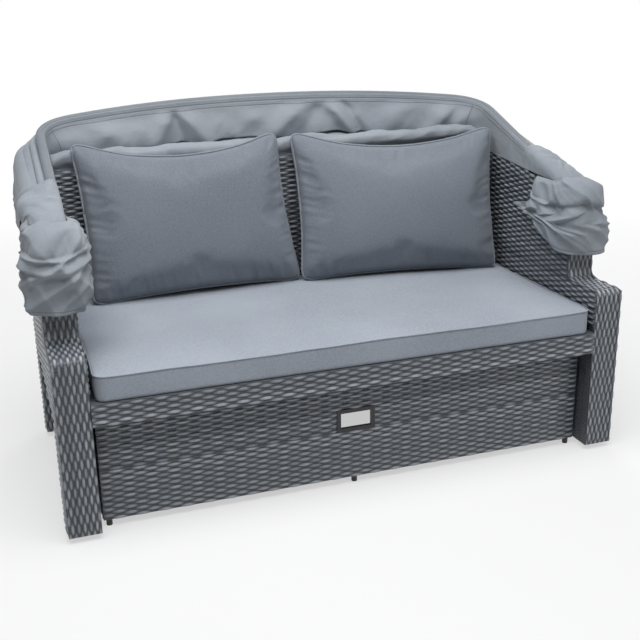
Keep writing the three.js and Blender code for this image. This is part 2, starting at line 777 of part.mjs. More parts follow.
// Cloth carried by a bow: profile(reach, cross) gives [outward, lift] points at each station
function bowCloth(place, stations, profile) {
  const halfWidth = pitchedX(place);
  const nudge = 1e-3;
  const columns = stations.map((t) => {
    const point = bowPoint(t, halfWidth);
    const before = bowPoint(t - nudge, halfWidth);
    const along = bowPoint(t + nudge, halfWidth).sub(before).normalize();
    const outward = new THREE.Vector2(-along.y, along.x);
    return profile(point, t).map(([out, lift]) => {
      const spot = point.clone().addScaledVector(outward, out);
      return onPlane(spot.x, spot.y, lift, bowAngles[place]);
    });
  });
  return clothSolid(columns[0].map((_, row) => columns.map((column) => column[row])));
}

// Where on a bow the cloth's columns stand: along both arms, round the shoulders, over the arch
function clothStations(firstReach, arms, corners, arch) {
  const cornerEnd = armEndShare;
  const archEnd = archEndShare;
  const armStart = bracketEarRadius + gap;
  const first = 1 - (1 - cornerEnd) * ((firstReach - armStart) / (bowArmLength - armStart));
  const half = [];
  for (let index = 0; index < arms; index += 1) {
    half.push(first + ((cornerEnd - first) * index) / arms);
  }
  for (let index = 0; index < corners; index += 1) {
    half.push(cornerEnd + ((archEnd - cornerEnd) * index) / corners);
  }
  const middle = [];
  for (let index = 0; index <= 2 * arch; index += 1) {
    middle.push(-archEnd + (archEnd * index) / arch);
  }
  return [...half.map((t) => -t), ...middle, ...half.reverse()];
}

const sleeve = bowTubeRadius + sleeveLooseness;
const round = (turn) => [sleeve * Math.cos(turn * degrees), sleeve * Math.sin(turn * degrees)];
const snug = (turn) => round(turn).map((size) => size * snugShare);

// How far a station is round from the arm towards the back, from 0 to 1
const aroundShare = (t) => THREE.MathUtils.smoothstep(0.82 - Math.abs(t), 0, 0.25);
const wave = (t, count, depth) => depth * Math.sin(count * Math.PI * t);

// How far a bow's cloth has to hang to reach a given height
const hangTo = (reach, place, height) => (
  pivotHeight + reach * Math.sin(bowAngles[place] * degrees) - height
);

function frontCloth() {
  const upright = Math.tan(bowAngles[0] * degrees);
  return bowCloth(0, clothStations(clothStartReach, 4, 6, 11), (point, t) => {
    const back = aroundShare(t);
    const rise = THREE.MathUtils.lerp(shoulderHemRise, frontHemRise, back);
    const hem = backHeight + rise + back * wave(t, 9, foldWave);
    const overBack = hangTo(point.y, 0, hem) * Math.cos(bowAngles[0] * degrees);
    const beside = point.y * Math.tan(flapAngle * degrees);
    const drop = Math.abs(t) <= armEndShare ? overBack : beside;
    const ripple = Math.abs(wave(t, 11, foldWave));
    const hung = frontDropShares.map((share, row) => {
      const inward = frontInwardShares[row] * (upright * drop + ripple);
      return [-flapInset - back * (inward + frontFoldShares[row] * foldDepth), -share * drop];
    });
    return [...frontTurnsDegrees.map(round), ...hung];
  });
}

function upperCloth() {
  return bowCloth(1, clothStations(clothStartReach, 2, 6, 8), (point, t) => {
    const back = aroundShare(t);
    const hang = hangTo(point.y, 1, backHeight + upperHemRise + wave(t, 7, foldWave / 2));
    const drop = THREE.MathUtils.lerp(sleeve, Math.max(hang, sleeve), back);
    const inward = (lift) => -sleeve - clothThickness - (lift * lift) / (2 * point.y);
    const hung = upperDropShares.map((share) => [inward(share * drop), -share * drop]);
    return [...upperTurnsDegrees.map(round), ...hung];
  });
}

function lowerCloth() {
  const overSide = 2 * bowPitch + 2 * clothThickness;
  return bowCloth(2, clothStations(clothStartReach, 4, 7, 10), (point, t) => {
    const back = aroundShare(t);
    const bulge = 4 * back * (1 - back) * cornerBulge;
    const out = THREE.MathUtils.lerp(overSide, 2.2 * sleeve, back) + bulge;
    const fullness = THREE.MathUtils.lerp(lowerSideDropShare, 1, back);
    const drop = lowerDrop * fullness + wave(t, 8, foldWave);
    const pleat = Math.max(wave(t, 21, foldWave), -foldWave / 3);
    const hung = lowerDropShares.map((share, row) => [
      out + pleat * lowerPleatShares[row] + clothThickness * Math.min(row + 1, 2),
      -share * drop,
    ]);
    return [
      ...lowerTurnsDegrees.map(snug),
      [THREE.MathUtils.lerp(bowPitch, sleeve, back) + bulge / 2, sleeve],
      [out * 0.96, THREE.MathUtils.lerp(sleeve / 2, -sleeve, back)],
      ...hung,
    ];
  });
}

// The rear panel: from the fixed bow over the woven back and down its front face
function rearPanel() {
  const halfWidth = innerX - rearPanelSideGap;
  const face = backFront - clothThickness / 2 - gap;
  const columns = [];
  const count = 24;
  for (let index = 0; index <= count; index += 1) {
    const share = (2 * index) / count - 1;
    const x = halfWidth * share;
    const reach = bowCrown - bowCrownDrop * Math.abs(x / pitchedX(3)) ** archPower;
    const tube = onPlane(x, reach - 1.5 * sleeve, -sleeve, bowAngles[3]);
    const roll = backHeight + rearPanelRollRise + wave(share, 7, foldWave / 2);
    const sag = backHeight + 2 * sleeve;
    const behind = (part) => THREE.MathUtils.lerp(frameDepth, tube.y, part);
    columns.push([
      tube,
      new THREE.Vector3(x, behind(0.55), sag + wave(share, 9, foldWave / 2)),
      new THREE.Vector3(x, behind(0.1), sag + sleeve),
      new THREE.Vector3(x, frameDepth - backThickness / 2, roll - sleeve / 2),
      new THREE.Vector3(x, backFront + sleeve / 2, roll),
      new THREE.Vector3(x, face, roll - 2 * sleeve),
      new THREE.Vector3(x, face, backHeight - rearPanelDrop),
    ]);
  }
  return clothSolid(columns[0].map((_, row) => columns.map((column) => column[row])));
}

// The gathered side cloth over the folded arms, from the pivot back
function gather() {
  const rows = [];
  const count = 9;
  for (let index = 0; index <= count; index += 1) {
    const share = index / count;
    const reach = 2 * hubRadius + (gatherReach - 2 * hubRadius) * share;
    const ripple = gatherRipple * Math.sin(3.5 * Math.PI * share);
    const innerDrop = reach * Math.tan(flapAngle * degrees);
    const outerDrop = innerDrop * 1.4;
    const innerSide = frontBowHalfWidth - flapInset;
    const outerSide = outerX + 4 * clothThickness;
    const section = [
      [innerSide - ripple, -innerDrop],
      [innerSide - clothThickness, -innerDrop / 3],
      [frontBowHalfWidth - sleeve, sleeve],
      [frontBowHalfWidth + bowPitch / 2, gatherTop + ripple],
      [pitchedX(2), gatherTop],
      [pitchedX(3) + sleeve, gatherTop / 2],
      [outerSide + ripple, -outerDrop / 3],
      [outerSide + clothThickness + ripple, -outerDrop],
    ];
    rows.push(section.map(([x, lift]) => (
      onPlane(x, Math.sqrt(reach * reach - lift * lift), lift, bowAngles[0])
    )));
  }
  return clothSolid(rows);
}

// The skirt: side cloth hanging round the front of the high side, below the pivot
function skirt() {
  const front = armFlat + sweepRadius;
  const top = shelfHeight - armEdgeRadius / 2;
  const rows = [];
  const off = clothThickness / 2 + gap;
  skirtLevelShares.forEach((level, row) => {
    const fullness = skirtSwellShares[row];
    const inward = off + skirtSwellIn * fullness;
    const outward = off + skirtSwellOut * fullness;
    const forward = off + skirtSwellForward * fullness;
    const corner = Math.min(forward, 2 * armEdgeRadius);
    const path = new THREE.Path();
    path.moveTo(innerX - inward, skirtRear);
    path.lineTo(innerX - inward, front - forward + corner);
    path.quadraticCurveTo(innerX - inward, front - forward, innerX - inward + corner, front - forward);
    path.lineTo(outerX + outward - corner, front - forward);
    path.quadraticCurveTo(
      outerX + outward, front - forward, outerX + outward, front - forward + corner,
    );
    path.lineTo(outerX + outward, skirtRear);
    const count = 26;
    const line = [];
    for (let index = 0; index <= count; index += 1) {
      const share = index / count;
      const place = path.getPointAt(share);
      const along = path.getTangentAt(share);
      const pleat = level * foldWave * Math.sin(2 * Math.PI * skirtPleatCount * share);
      const x = place.x + along.y * pleat;
      const y = place.y - along.x * pleat;
      const bottom = shelfHeight - skirtLength + (share - 0.5) * foldWave + pleat;
      line.push(new THREE.Vector3(x, y, THREE.MathUtils.lerp(top, bottom, level)));
    }
    rows.push(line);
  });
  return clothSolid(rows);
}

addPiece('canopy_front_cloth', frontCloth(), canopyCloth);
addPiece('canopy_upper_cloth', upperCloth(), canopyCloth);
addPiece('canopy_lower_cloth', lowerCloth(), canopyCloth);
addPiece('canopy_rear_panel', rearPanel(), canopyCloth);
addPair('canopy_gather', gather(), canopyCloth);
addPair('canopy_skirt', skirt(), canopyCloth);

// Cushions
function roundedCorner(centre, radius, start, count) {
  const points = [];
  for (let index = 0; index <= count; index += 1) {
    const turn = start + (Math.PI / 2) * (index / count);
    points.push(new THREE.Vector2(
      centre.x + radius * Math.cos(turn),
      centre.y + radius * Math.sin(turn),
    ));
  }
  return points;
}

// Rings of equal length, closed by a point below and a point above
function ringSolid(rings, low, high) {
  const wide = rings[0].length;
  const positions = [low.x, low.y, low.z];
  rings.flat().forEach((point) => positions.push(point.x, point.y, point.z));
  positions.push(high.x, high.y, high.z);
  const top = rings.length * wide + 1;
  const at = (i, j) => 1 + i * wide + (j % wide);
  const index = [];
  for (let j = 0; j < wide; j += 1) {
    index.push(0, at(0, j + 1), at(0, j));
    for (let i = 0; i + 1 < rings.length; i += 1) {
      index.push(at(i, j), at(i, j + 1), at(i + 1, j + 1), at(i, j), at(i + 1, j + 1), at(i + 1, j));
    }
    index.push(at(rings.length - 1, j), at(rings.length - 1, j + 1), top);
  }
  const geometry = new THREE.BufferGeometry();
  geometry.setAttribute('position', new THREE.Float32BufferAttribute(positions, 3));
  geometry.setIndex(index);
  return geometry;
}

function seatCushion() {
  const halfWidth = innerX - seatCushionSideGap;
  const rear = backFront - seatCushionRearGap;
  const middle = new THREE.Vector3(0, (seatCushionFront + rear) / 2, 0);
  const bottom = deckHeight + gap;
  const heightShares = [0, 0.02, 0.1, 0.5, 0.9, 0.985, 1];
  const levelInsets = [seatCushionPull * 3, seatCushionPull, 0, seatCushionPull, 0, seatCushionPull];
  const spans = (x0, x1, count) => (
    Array.from({ length: count }, (_, index) => x0 + ((x1 - x0) * (index + 1)) / (count + 1))
  );
  const ring = (inset, z, crown) => {
    const x = halfWidth - inset;
    const y0 = seatCushionFront + inset;
    const y1 = rear - inset;
    const big = seatCushionCorner;
    const small = seatCushionRearCorner;
    const edge = [
      ...spans(-x + big, x - big, 8).map((place) => new THREE.Vector2(place, y0)),
      ...roundedCorner(new THREE.Vector2(x - big, y0 + big), big, -Math.PI / 2, 4),
      ...spans(y0 + big, y1 - small, 4).map((place) => new THREE.Vector2(x, place)),
      ...roundedCorner(new THREE.Vector2(x - small, y1 - small), small, 0, 2),
      ...spans(x - small, -x + small, 8).map((place) => new THREE.Vector2(place, y1)),
      ...roundedCorner(new THREE.Vector2(-x + small, y1 - small), small, Math.PI / 2, 2),
      ...spans(y1 - small, y0 + big, 4).map((place) => new THREE.Vector2(-x, place)),
      ...roundedCorner(new THREE.Vector2(-x + big, y0 + big), big, Math.PI, 4),
    ];
    return edge.map((point) => new THREE.Vector3(
      middle.x + (point.x - middle.x) * crown,
      middle.y + (point.y - middle.y) * crown,
      z,
    ));
  };
  const rings = levelInsets.map((inset, level) => (
    ring(inset, bottom + seatCushionThickness * heightShares[level], 1)
  ));
  const top = bottom + seatCushionThickness;
  for (const share of [0.97, 0.88, 0.7, 0.4]) {
    rings.push(ring(seatCushionPull, top + seatCushionCrown * (1 - share ** 3), share));
  }
  const low = new THREE.Vector3(0, middle.y, bottom);
  const high = new THREE.Vector3(0, middle.y, top + seatCushionCrown);
  rings[0].forEach((point) => point.setZ(bottom));
  return ringSolid(rings, low, high);
}

// Height of the seat cushion's top along its middle line
function seatTopAt(y) {
  const rear = backFront - seatCushionRearGap;
  const share = Math.abs(2 * y - seatCushionFront - rear) / (rear - seatCushionFront);
  return deckHeight + gap + seatCushionThickness + seatCushionCrown * (1 - share ** 3);
}

function backCushion(middleX) {
  const across = 16;
  const up = 12;
  const tilt = backCushionTilt * degrees;
  const skins = [1, -1].map((side) => {
    const rows = [];
    for (let i = 0; i <= up; i += 1) {
      const line = [];
      for (let j = 0; j <= across; j += 1) {
        const u = Math.sin((Math.PI / 2) * ((2 * j) / across - 1));
        const v = Math.sin((Math.PI / 2) * ((2 * i) / up - 1));
        const x = u * (backCushionWidth / 2 - backCushionPull * (1 - v * v));
        const height = v * (backCushionHeight / 2 - backCushionPull * (1 - u * u));
        const fullness = ((1 - u * u) * (1 - v * v)) ** 0.42;
        const depth = backCushionEdge / 2 + (backCushionThickness / 2 - backCushionEdge / 2) * fullness;
        line.push(new THREE.Vector3(x, -side * depth, height));
      }
      rows.push(line);
    }
    return rows;
  });
  const positions = [];
  const foot = backCushionHeight / 2;
  const base = seatTopAt(backCushionFootPlace) + gap + (backCushionEdge / 2) * Math.sin(tilt);
  for (const rows of skins) {
    for (const point of rows.flat()) {
      const height = foot + point.z;
      positions.push(
        middleX + point.x,
        backCushionFootPlace + height * Math.sin(tilt) + point.y * Math.cos(tilt),
        base + height * Math.cos(tilt) - point.y * Math.sin(tilt),
      );
    }
  }
  const wide = across + 1;
  const count = wide * (up + 1);
  const at = (side, i, j) => side * count + i * wide + j;
  const index = [];
  const quad = (a, b, c, d) => index.push(a, b, c, a, c, d);
  for (let i = 0; i < up; i += 1) {
    for (let j = 0; j < across; j += 1) {
      quad(at(0, i, j), at(0, i, j + 1), at(0, i + 1, j + 1), at(0, i + 1, j));
      quad(at(1, i, j), at(1, i + 1, j), at(1, i + 1, j + 1), at(1, i, j + 1));
    }
    quad(at(1, i, 0), at(0, i, 0), at(0, i + 1, 0), at(1, i + 1, 0));
    quad(at(0, i, across), at(1, i, across), at(1, i + 1, across), at(0, i + 1, across));
  }
  for (let j = 0; j < across; j += 1) {
    quad(at(0, 0, j), at(1, 0, j), at(1, 0, j + 1), at(0, 0, j + 1));
    quad(at(1, up, j), at(0, up, j), at(0, up, j + 1), at(1, up, j + 1));
  }
  const geometry = new THREE.BufferGeometry();
  geometry.setAttribute('position', new THREE.Float32BufferAttribute(positions, 3));
  geometry.setIndex(index);
  return geometry;
}

addPiece('seat_cushion', seatCushion(), cushionCloth);
const besideCushion = innerX - backCushionWidth / 2;
addPiece('right_back_cushion', backCushion(backCushionRightGap - besideCushion), cushionCloth);
addPiece('left_back_cushion', backCushion(besideCushion - backCushionLeftGap), cushionCloth);

// The origin stands on the ground, under the middle of the whole piece
const box = new THREE.Box3().setFromObject(daybed);
daybed.position.y = -(box.min.y + box.max.y) / 2;

export default daybed;
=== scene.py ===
import json
import math

import bpy
import numpy as np
from mathutils import Matrix, Vector, noise


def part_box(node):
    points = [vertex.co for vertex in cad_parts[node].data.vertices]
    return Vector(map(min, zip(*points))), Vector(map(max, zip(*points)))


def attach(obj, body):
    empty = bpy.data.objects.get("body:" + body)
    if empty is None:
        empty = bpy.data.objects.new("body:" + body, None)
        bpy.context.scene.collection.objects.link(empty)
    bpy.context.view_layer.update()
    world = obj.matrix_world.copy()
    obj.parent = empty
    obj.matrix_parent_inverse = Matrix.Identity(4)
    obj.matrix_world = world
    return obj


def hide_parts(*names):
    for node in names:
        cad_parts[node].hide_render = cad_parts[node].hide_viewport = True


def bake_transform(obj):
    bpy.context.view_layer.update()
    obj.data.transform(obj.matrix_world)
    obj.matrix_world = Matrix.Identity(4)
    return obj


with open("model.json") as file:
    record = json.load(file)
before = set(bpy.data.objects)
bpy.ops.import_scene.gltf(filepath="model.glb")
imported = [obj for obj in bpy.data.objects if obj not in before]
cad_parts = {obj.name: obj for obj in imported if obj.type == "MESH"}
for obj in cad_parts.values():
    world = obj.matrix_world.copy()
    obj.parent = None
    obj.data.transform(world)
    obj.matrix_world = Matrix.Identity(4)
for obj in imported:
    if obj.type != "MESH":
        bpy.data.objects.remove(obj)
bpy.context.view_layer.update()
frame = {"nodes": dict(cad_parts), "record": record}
scene = bpy.context.scene
randomness = np.random.default_rng(11)

# The daybed's own lines, read from the frame (metres)
sideLow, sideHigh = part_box("left_side_wicker")
backLow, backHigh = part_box("back_wicker")
seatLow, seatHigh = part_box("seat_cushion")
boltLow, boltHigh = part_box("left_pivot_bolt")
frontY = sideLow.y  # the arms' front face
innerX, outerX = sideLow.x, sideHigh.x
pivotY = (boltLow.y + boltHigh.y) / 2
pivotZ = (boltLow.z + boltHigh.z) / 2


# Shader maths: a socket that takes part in plain expressions
class Value:
    def __init__(self, paint, socket):
        self.paint = paint
        self.socket = socket

    def __add__(self, other):
        return self.paint.maths("ADD", self, other)

    def __sub__(self, other):
        return self.paint.maths("SUBTRACT", self, other)

    def __rsub__(self, other):
        return self.paint.maths("SUBTRACT", other, self)

    def __mul__(self, other):
        return self.paint.maths("MULTIPLY", self, other)

    __radd__ = __add__
    __rmul__ = __mul__


# The nodes of one material or of the world
class Paint:
    def __init__(self, owner, settings=None):
        owner.use_nodes = True
        self.owner = owner
        self.tree = owner.node_tree
        self.shader = self.tree.nodes.get("Principled BSDF")
        self.feed(self.shader, settings or {})

    def feed(self, node, values):
        for key, value in values.items():
            if isinstance(value, Value):
                self.tree.links.new(value.socket, node.inputs[key])
            else:
                node.inputs[key].default_value = value

    def add(self, kind, settings=None, values=None, output=0):
        node = self.tree.nodes.new(kind)
        for key, value in (settings or {}).items():
            setattr(node, key, value)
        self.feed(node, values or {})
        return Value(self, node.outputs[output])

    def maths(self, operation, first, second=0.0):
        return self.add("ShaderNodeMath", {"operation": operation}, {0: first, 1: second})

    def scaled(self, where, perMetre):
        return self.add("ShaderNodeVectorMath", {"operation": "MULTIPLY"}, {0: where, 1: perMetre})

    def shaded(self, colour, shade):
        return self.add("ShaderNodeVectorMath", {"operation": "SCALE"}, {0: colour, "Scale": shade})

    def place(self, perMetre=(1.0, 1.0, 1.0)):
        return self.scaled(self.add("ShaderNodeTexCoord", output="Object"), perMetre)

    def axes(self, where):
        return [self.add("ShaderNodeSeparateXYZ", {}, {0: where}, axis) for axis in range(3)]

    def attribute(self, name, output="Fac"):
        return self.add("ShaderNodeAttribute", {"attribute_name": name}, output=output)

    def noise(self, vector, scale, detail=3.0, roughness=0.5):
        values = {"Vector": vector, "Scale": scale, "Detail": detail, "Roughness": roughness}
        return self.add("ShaderNodeTexNoise", {}, values)

    def span(self, value, low, high, toLow=0.0, toHigh=1.0):
        values = {"Value": value, "From Min": low, "From Max": high, "To Min": toLow, "To Max": toHigh}
        return self.add("ShaderNodeMapRange", {}, values)

    def mix(self, factor, first, second):
        return self.add("ShaderNodeMix", {"data_type": "RGBA"}, {0: factor, 6: first, 7: second}, 2)

    def bump(self, height, distance, strength=1.0):
        return self.add("ShaderNodeBump", {}, {"Height": height, "Distance": distance, "Strength": strength})

    # Rays that see the background as white
    def seen(self):
        camera, glossy, through = (
            self.add("ShaderNodeLightPath", output=f"Is {kind} Ray")
            for kind in ("Camera", "Glossy", "Transmission")
        )
        return self.maths("MAXIMUM", self.maths("MAXIMUM", camera, glossy), through)

    def finish(self, **values):
        self.feed(self.shader, {key.replace("_", " "): value for key, value in values.items()})
        return self.owner


def newPaint(name, settings):
    return Paint(bpy.data.materials.new(name), settings)


def rgb(red, green, blue):
    return (red, green, blue, 1.0)


# Materials
def strandFinish():
    look = {
        "navy": rgb(0.156, 0.181, 0.212),
        "slate": rgb(0.325, 0.353, 0.386),
        "brown": rgb(0.19, 0.172, 0.162),
        "violet": rgb(0.215, 0.208, 0.24),
        "streaksPerMetre": (26.0, 1500.0, 40.0),
        "specksPerMetre": (45.0, 260.0, 9.0),
        "streakHeight": 0.0004,
    }
    paint = newPaint("wovenStrand", {"Specular IOR Level": 0.55})
    place = paint.attribute("strandPlace", "Vector")
    streak = paint.noise(paint.scaled(place, look["streaksPerMetre"]), 1.0, 2.0)
    speck = paint.noise(paint.scaled(place, look["specksPerMetre"]), 1.0, 3.0, 0.6)
    base = paint.mix(paint.span(paint.attribute("strandTone"), 0.25, 0.8), look["navy"], look["slate"])
    base = paint.mix(paint.span(speck, 0.56, 0.72, 0.0, 0.75), base, look["brown"])
    base = paint.mix(paint.span(speck, 0.44, 0.3, 0.0, 0.6), base, look["violet"])
    # Painted shade: a strand is darkened where it dips under a stake and along its edges, down to 0.16 of its
    # colour
    depth = paint.span(paint.attribute("strandDepthShade"), 0.0, 0.85, 0.16, 1.12)
    shade = paint.span(streak, 0.3, 0.7, 0.8, 1.16) * depth
    return paint.finish(
        Base_Color=paint.shaded(base, shade),
        Roughness=paint.span(streak, 0.3, 0.7, 0.44, 0.3),
        Normal=paint.bump(streak, look["streakHeight"]),
    )


# The close weave seen behind the strands, and on faces that stay out of sight, drawn near black as painted
# shade for the shaded inside that shows through the gaps
def backingFinish():
    look = {
        "dark": rgb(0.018, 0.02, 0.024),
        "strand": rgb(0.08, 0.088, 0.1),
        "perMetre": (118.0, 118.0, 118.0),
        "crossShare": 0.27,
        "height": 0.0016,
    }
    paint = newPaint("wovenBacking", {"Roughness": 0.55})
    x, y, z = paint.axes(paint.place(look["perMetre"]))
    band = paint.maths("PINGPONG", z, 0.5)
    cross = paint.maths("PINGPONG", (x + y) * look["crossShare"], 0.5)
    raised = paint.span(band, 0.04, 0.3) * paint.span(cross, 0.03, 0.2, 0.55, 1.0)
    # Painted shade: near black in the gaps between its strands, and its strands far darker than the woven
    # strands in front
    colour = paint.mix(raised, look["dark"], look["strand"])
    return paint.finish(Base_Color=colour, Normal=paint.bump(raised, look["height"]))


def clothFinish(name, look):
    settings = {"Sheen Weight": look["sheen"], "Sheen Roughness": 0.5, "Specular IOR Level": 0.18}
    paint = newPaint(name, settings)
    where = paint.place()
    x, y, z = paint.axes(where)
    turns = look["threadsPerMetre"] * math.tau
    thread = paint.maths("SINE", x * turns) * paint.maths("SINE", (y * 0.8 + z) * turns) * 0.5 + 0.5
    heather = paint.noise(paint.place(look["heatherPerMetre"]), 1.0, 4.0, 0.65)
    cloudy = paint.noise(where, look["cloudsPerMetre"], 2.0)
    crease = paint.noise(where, look["creasesPerMetre"], 3.0, 0.55)
    base = paint.mix(paint.span(heather, 0.32, 0.68), look["dark"], look["light"])
    base = paint.mix(paint.span(cloudy, 0.35, 0.7, 0.0, look["fade"]), base, look["faded"])
    # Painted shade along seam lines and the sleeve band: marked rows are darkened down to 0.62 of their
    # colour, and seams are also dented
    seamShade = paint.span(paint.attribute("shadedSeam"), 0.3, 0.9)
    shade = paint.span(thread, 0.0, 1.0, 0.93, 1.05) * paint.span(seamShade, 0.0, 1.0, 1.0, 0.62)
    height = thread * look["threadHeight"] + crease * look["creaseHeight"] - seamShade * look["seamDepth"]
    rough = look["roughness"]
    return paint.finish(
        Base_Color=paint.shaded(base, shade),
        Roughness=paint.span(heather, 0.3, 0.7, rough - 0.05, rough + 0.05),
        Normal=paint.bump(height, 1.0, look["bump"]),
    )


def smoothFinish(name, look):
    paint = newPaint(name, {"Metallic": look["metallic"], "Specular IOR Level": 0.5})
    grain = paint.noise(paint.place(look["grainPerMetre"]), 1.0, 3.0, 0.6)
    wear = paint.noise(paint.place((14.0, 14.0, 14.0)), 1.0, 3.0, 0.6)
    rough = look["roughness"]
    return paint.finish(
        Base_Color=paint.mix(paint.span(wear, 0.35, 0.7), look["colour"], look["worn"]),
        Roughness=paint.span(grain, 0.3, 0.7, rough - 0.07, rough + 0.09),
        Normal=paint.bump(grain, look["grainDepth"]),
    )


# Shared cloth settings; its colours are the back cushions' cloth, the seat cushion's fabric drawn darker as a
# painted-shade copy
cushionLook = {
    "dark": rgb(0.125, 0.142, 0.168),
    "light": rgb(0.185, 0.206, 0.238),
    "faded": rgb(0.225, 0.25, 0.285),
    "fade": 0.3,
    "heatherPerMetre": (260.0, 260.0, 260.0),
    "threadsPerMetre": 620.0,
    "cloudsPerMetre": 3.2,
    "creasesPerMetre": 7.0,
    "threadHeight": 0.00022,
    "creaseHeight": 0.003,
    "seamDepth": 0.0012,
    "roughness": 0.86,
    "sheen": 0.15,
    "bump": 0.9,
}
finishes = {
    "strand": strandFinish(),
    "backing": backingFinish(),
    "shadedBackCloth": clothFinish("shadedBackCloth", cushionLook),
    # The seat cushion's cloth: the same fabric drawn much lighter, as a painted-light copy for its lit top
    "litSeatCloth": clothFinish("litSeatCloth", {
        **cushionLook,
        "dark": rgb(0.215, 0.24, 0.278), "light": rgb(0.31, 0.34, 0.388), "faded": rgb(0.375, 0.41, 0.463),
        "fade": 0.35, "heatherPerMetre": (230.0, 230.0, 330.0), "creasesPerMetre": 9.0,
        "creaseHeight": 0.0025,
    }),
    "canopyCloth": clothFinish("canopyCloth", {
        **cushionLook,
        "dark": rgb(0.193, 0.215, 0.242), "light": rgb(0.245, 0.268, 0.3), "faded": rgb(0.3, 0.325, 0.352),
        "fade": 0.5, "heatherPerMetre": (420.0, 420.0, 420.0), "threadsPerMetre": 900.0,
        "creasesPerMetre": 16.0, "threadHeight": 0.0001, "creaseHeight": 0.004, "roughness": 0.72,
        "sheen": 0.1, "bump": 1.0,
    }),
    # Piping: the cushions' fabric drawn lighter than the back cushions' cloth, as a painted highlight on the
    # round piping
    "piping": clothFinish("piping", {
        **cushionLook,
        "dark": rgb(0.16, 0.18, 0.21), "light": rgb(0.24, 0.264, 0.3), "faded": rgb(0.27, 0.295, 0.33),
        "heatherPerMetre": (300.0, 300.0, 300.0), "threadsPerMetre": 700.0, "creasesPerMetre": 60.0,
        "threadHeight": 0.0002, "creaseHeight": 0.0006, "roughness": 0.82,
    }),
    "frameMetal": smoothFinish("frameMetal", {
        "colour": rgb(0.03, 0.032, 0.036), "worn": rgb(0.045, 0.047, 0.052), "metallic": 0.3,
        "roughness": 0.45, "grainPerMetre": (900.0, 900.0, 900.0), "grainDepth": 0.00008,
    }),
    "bowMetal": smoothFinish("bowMetal", {
        "colour": rgb(0.05, 0.052, 0.056), "worn": rgb(0.075, 0.078, 0.084), "metallic": 0.6,
        "roughness": 0.38, "grainPerMetre": (700.0, 700.0, 700.0), "grainDepth": 0.00006,
    }),
    "steel": smoothFinish("zincSteel", {
        "colour": rgb(0.42, 0.43, 0.45), "worn": rgb(0.3, 0.3, 0.31), "metallic": 0.95,
        "roughness": 0.32, "grainPerMetre": (300.0, 1600.0, 1600.0), "grainDepth": 0.00005,
    }),
    "blackPlastic": smoothFinish("blackPlastic", {
        "colour": rgb(0.012, 0.012, 0.013), "worn": rgb(0.022, 0.022, 0.024), "metallic": 0.0,
        "roughness": 0.42, "grainPerMetre": (1100.0, 1100.0, 1100.0), "grainDepth": 0.0001,
    }),
}
slotFinish = {
    "wicker": "backing",
    "frame_metal": "frameMetal",
    "bow_metal": "bowMetal",
    "steel": "steel",
    "black_plastic": "blackPlastic",
    "canopy_cloth": "canopyCloth",
    "cushion_cloth": "shadedBackCloth",
}
for entry in frame["record"]["subparts"]:
    node = frame["nodes"][entry["node"]]
    node.data.materials.clear()
    node.data.materials.append(finishes[slotFinish[entry["material_slot"]]])
print("materials ready")


# Small edges on the rigid pieces that show
def softenEdges(names, width):
    for name in names:
        bevel = frame["nodes"][name].modifiers.new("edges", "BEVEL")
        bevel.width = width
        bevel.segments = 2
        bevel.limit_method = "ANGLE"
        bevel.angle_limit = math.radians(40)


softenEdges(["hand_hole_frame"], 0.001)
softenEdges([f"{side}_{end}_foot" for side in ("left", "right") for end in ("front", "rear")], 0.0015)
softenEdges(["left_pivot_bracket", "right_pivot_bracket"], 0.0006)


# Meshes
def addMesh(name, points, faces, finish, smooth=True):
    mesh = bpy.data.meshes.new(name)
    mesh.from_pydata(np.asarray(points).tolist(), [], np.asarray(faces).tolist())
    mesh.materials.append(finishes[finish])
    piece = bpy.data.objects.new(name, mesh)
    scene.collection.objects.link(piece)
    if smooth:
        mesh.shade_smooth()
    return piece


# Faces between the points of a grid, their corners taken in the given order
def quadsOf(index, order=(0, 1, 2, 3)):
    corners = [index[:-1, :-1], index[:-1, 1:], index[1:, 1:], index[1:, :-1]]
    return np.stack([corners[place] for place in order], axis=-1).reshape(-1, 4)


def gridIndex(shape, start=0):
    return start + np.arange(shape[0] * shape[1]).reshape(shape[:2])


def rimOf(index):
    return np.concatenate([index[0, :-1], index[:-1, -1], index[-1, :0:-1], index[:0:-1, 0]])


def insideOf(index):
    return np.pad(np.ones((index.shape[0] - 2, index.shape[1] - 2), bool), 1)


# Weave: flat strands that run one way, over and under stakes that run the other
weave = {
    "strandPitch": 0.0086,
    "stakePitch": 0.031,
    "swing": 0.0021,
    "lift": 0.0026,
    "edgeDrop": 0.0016,
    "edgeRoll": 0.0045,
    "unevenness": 0.0003,
    "toneSpread": 0.2,
    "edgeShade": 0.42,
    "flatness": 0.6,
    "samplesPerStake": 3,
    "edgeShares": (0.07, 0.5, 0.93),
    "shelfGap": 0.01,
}


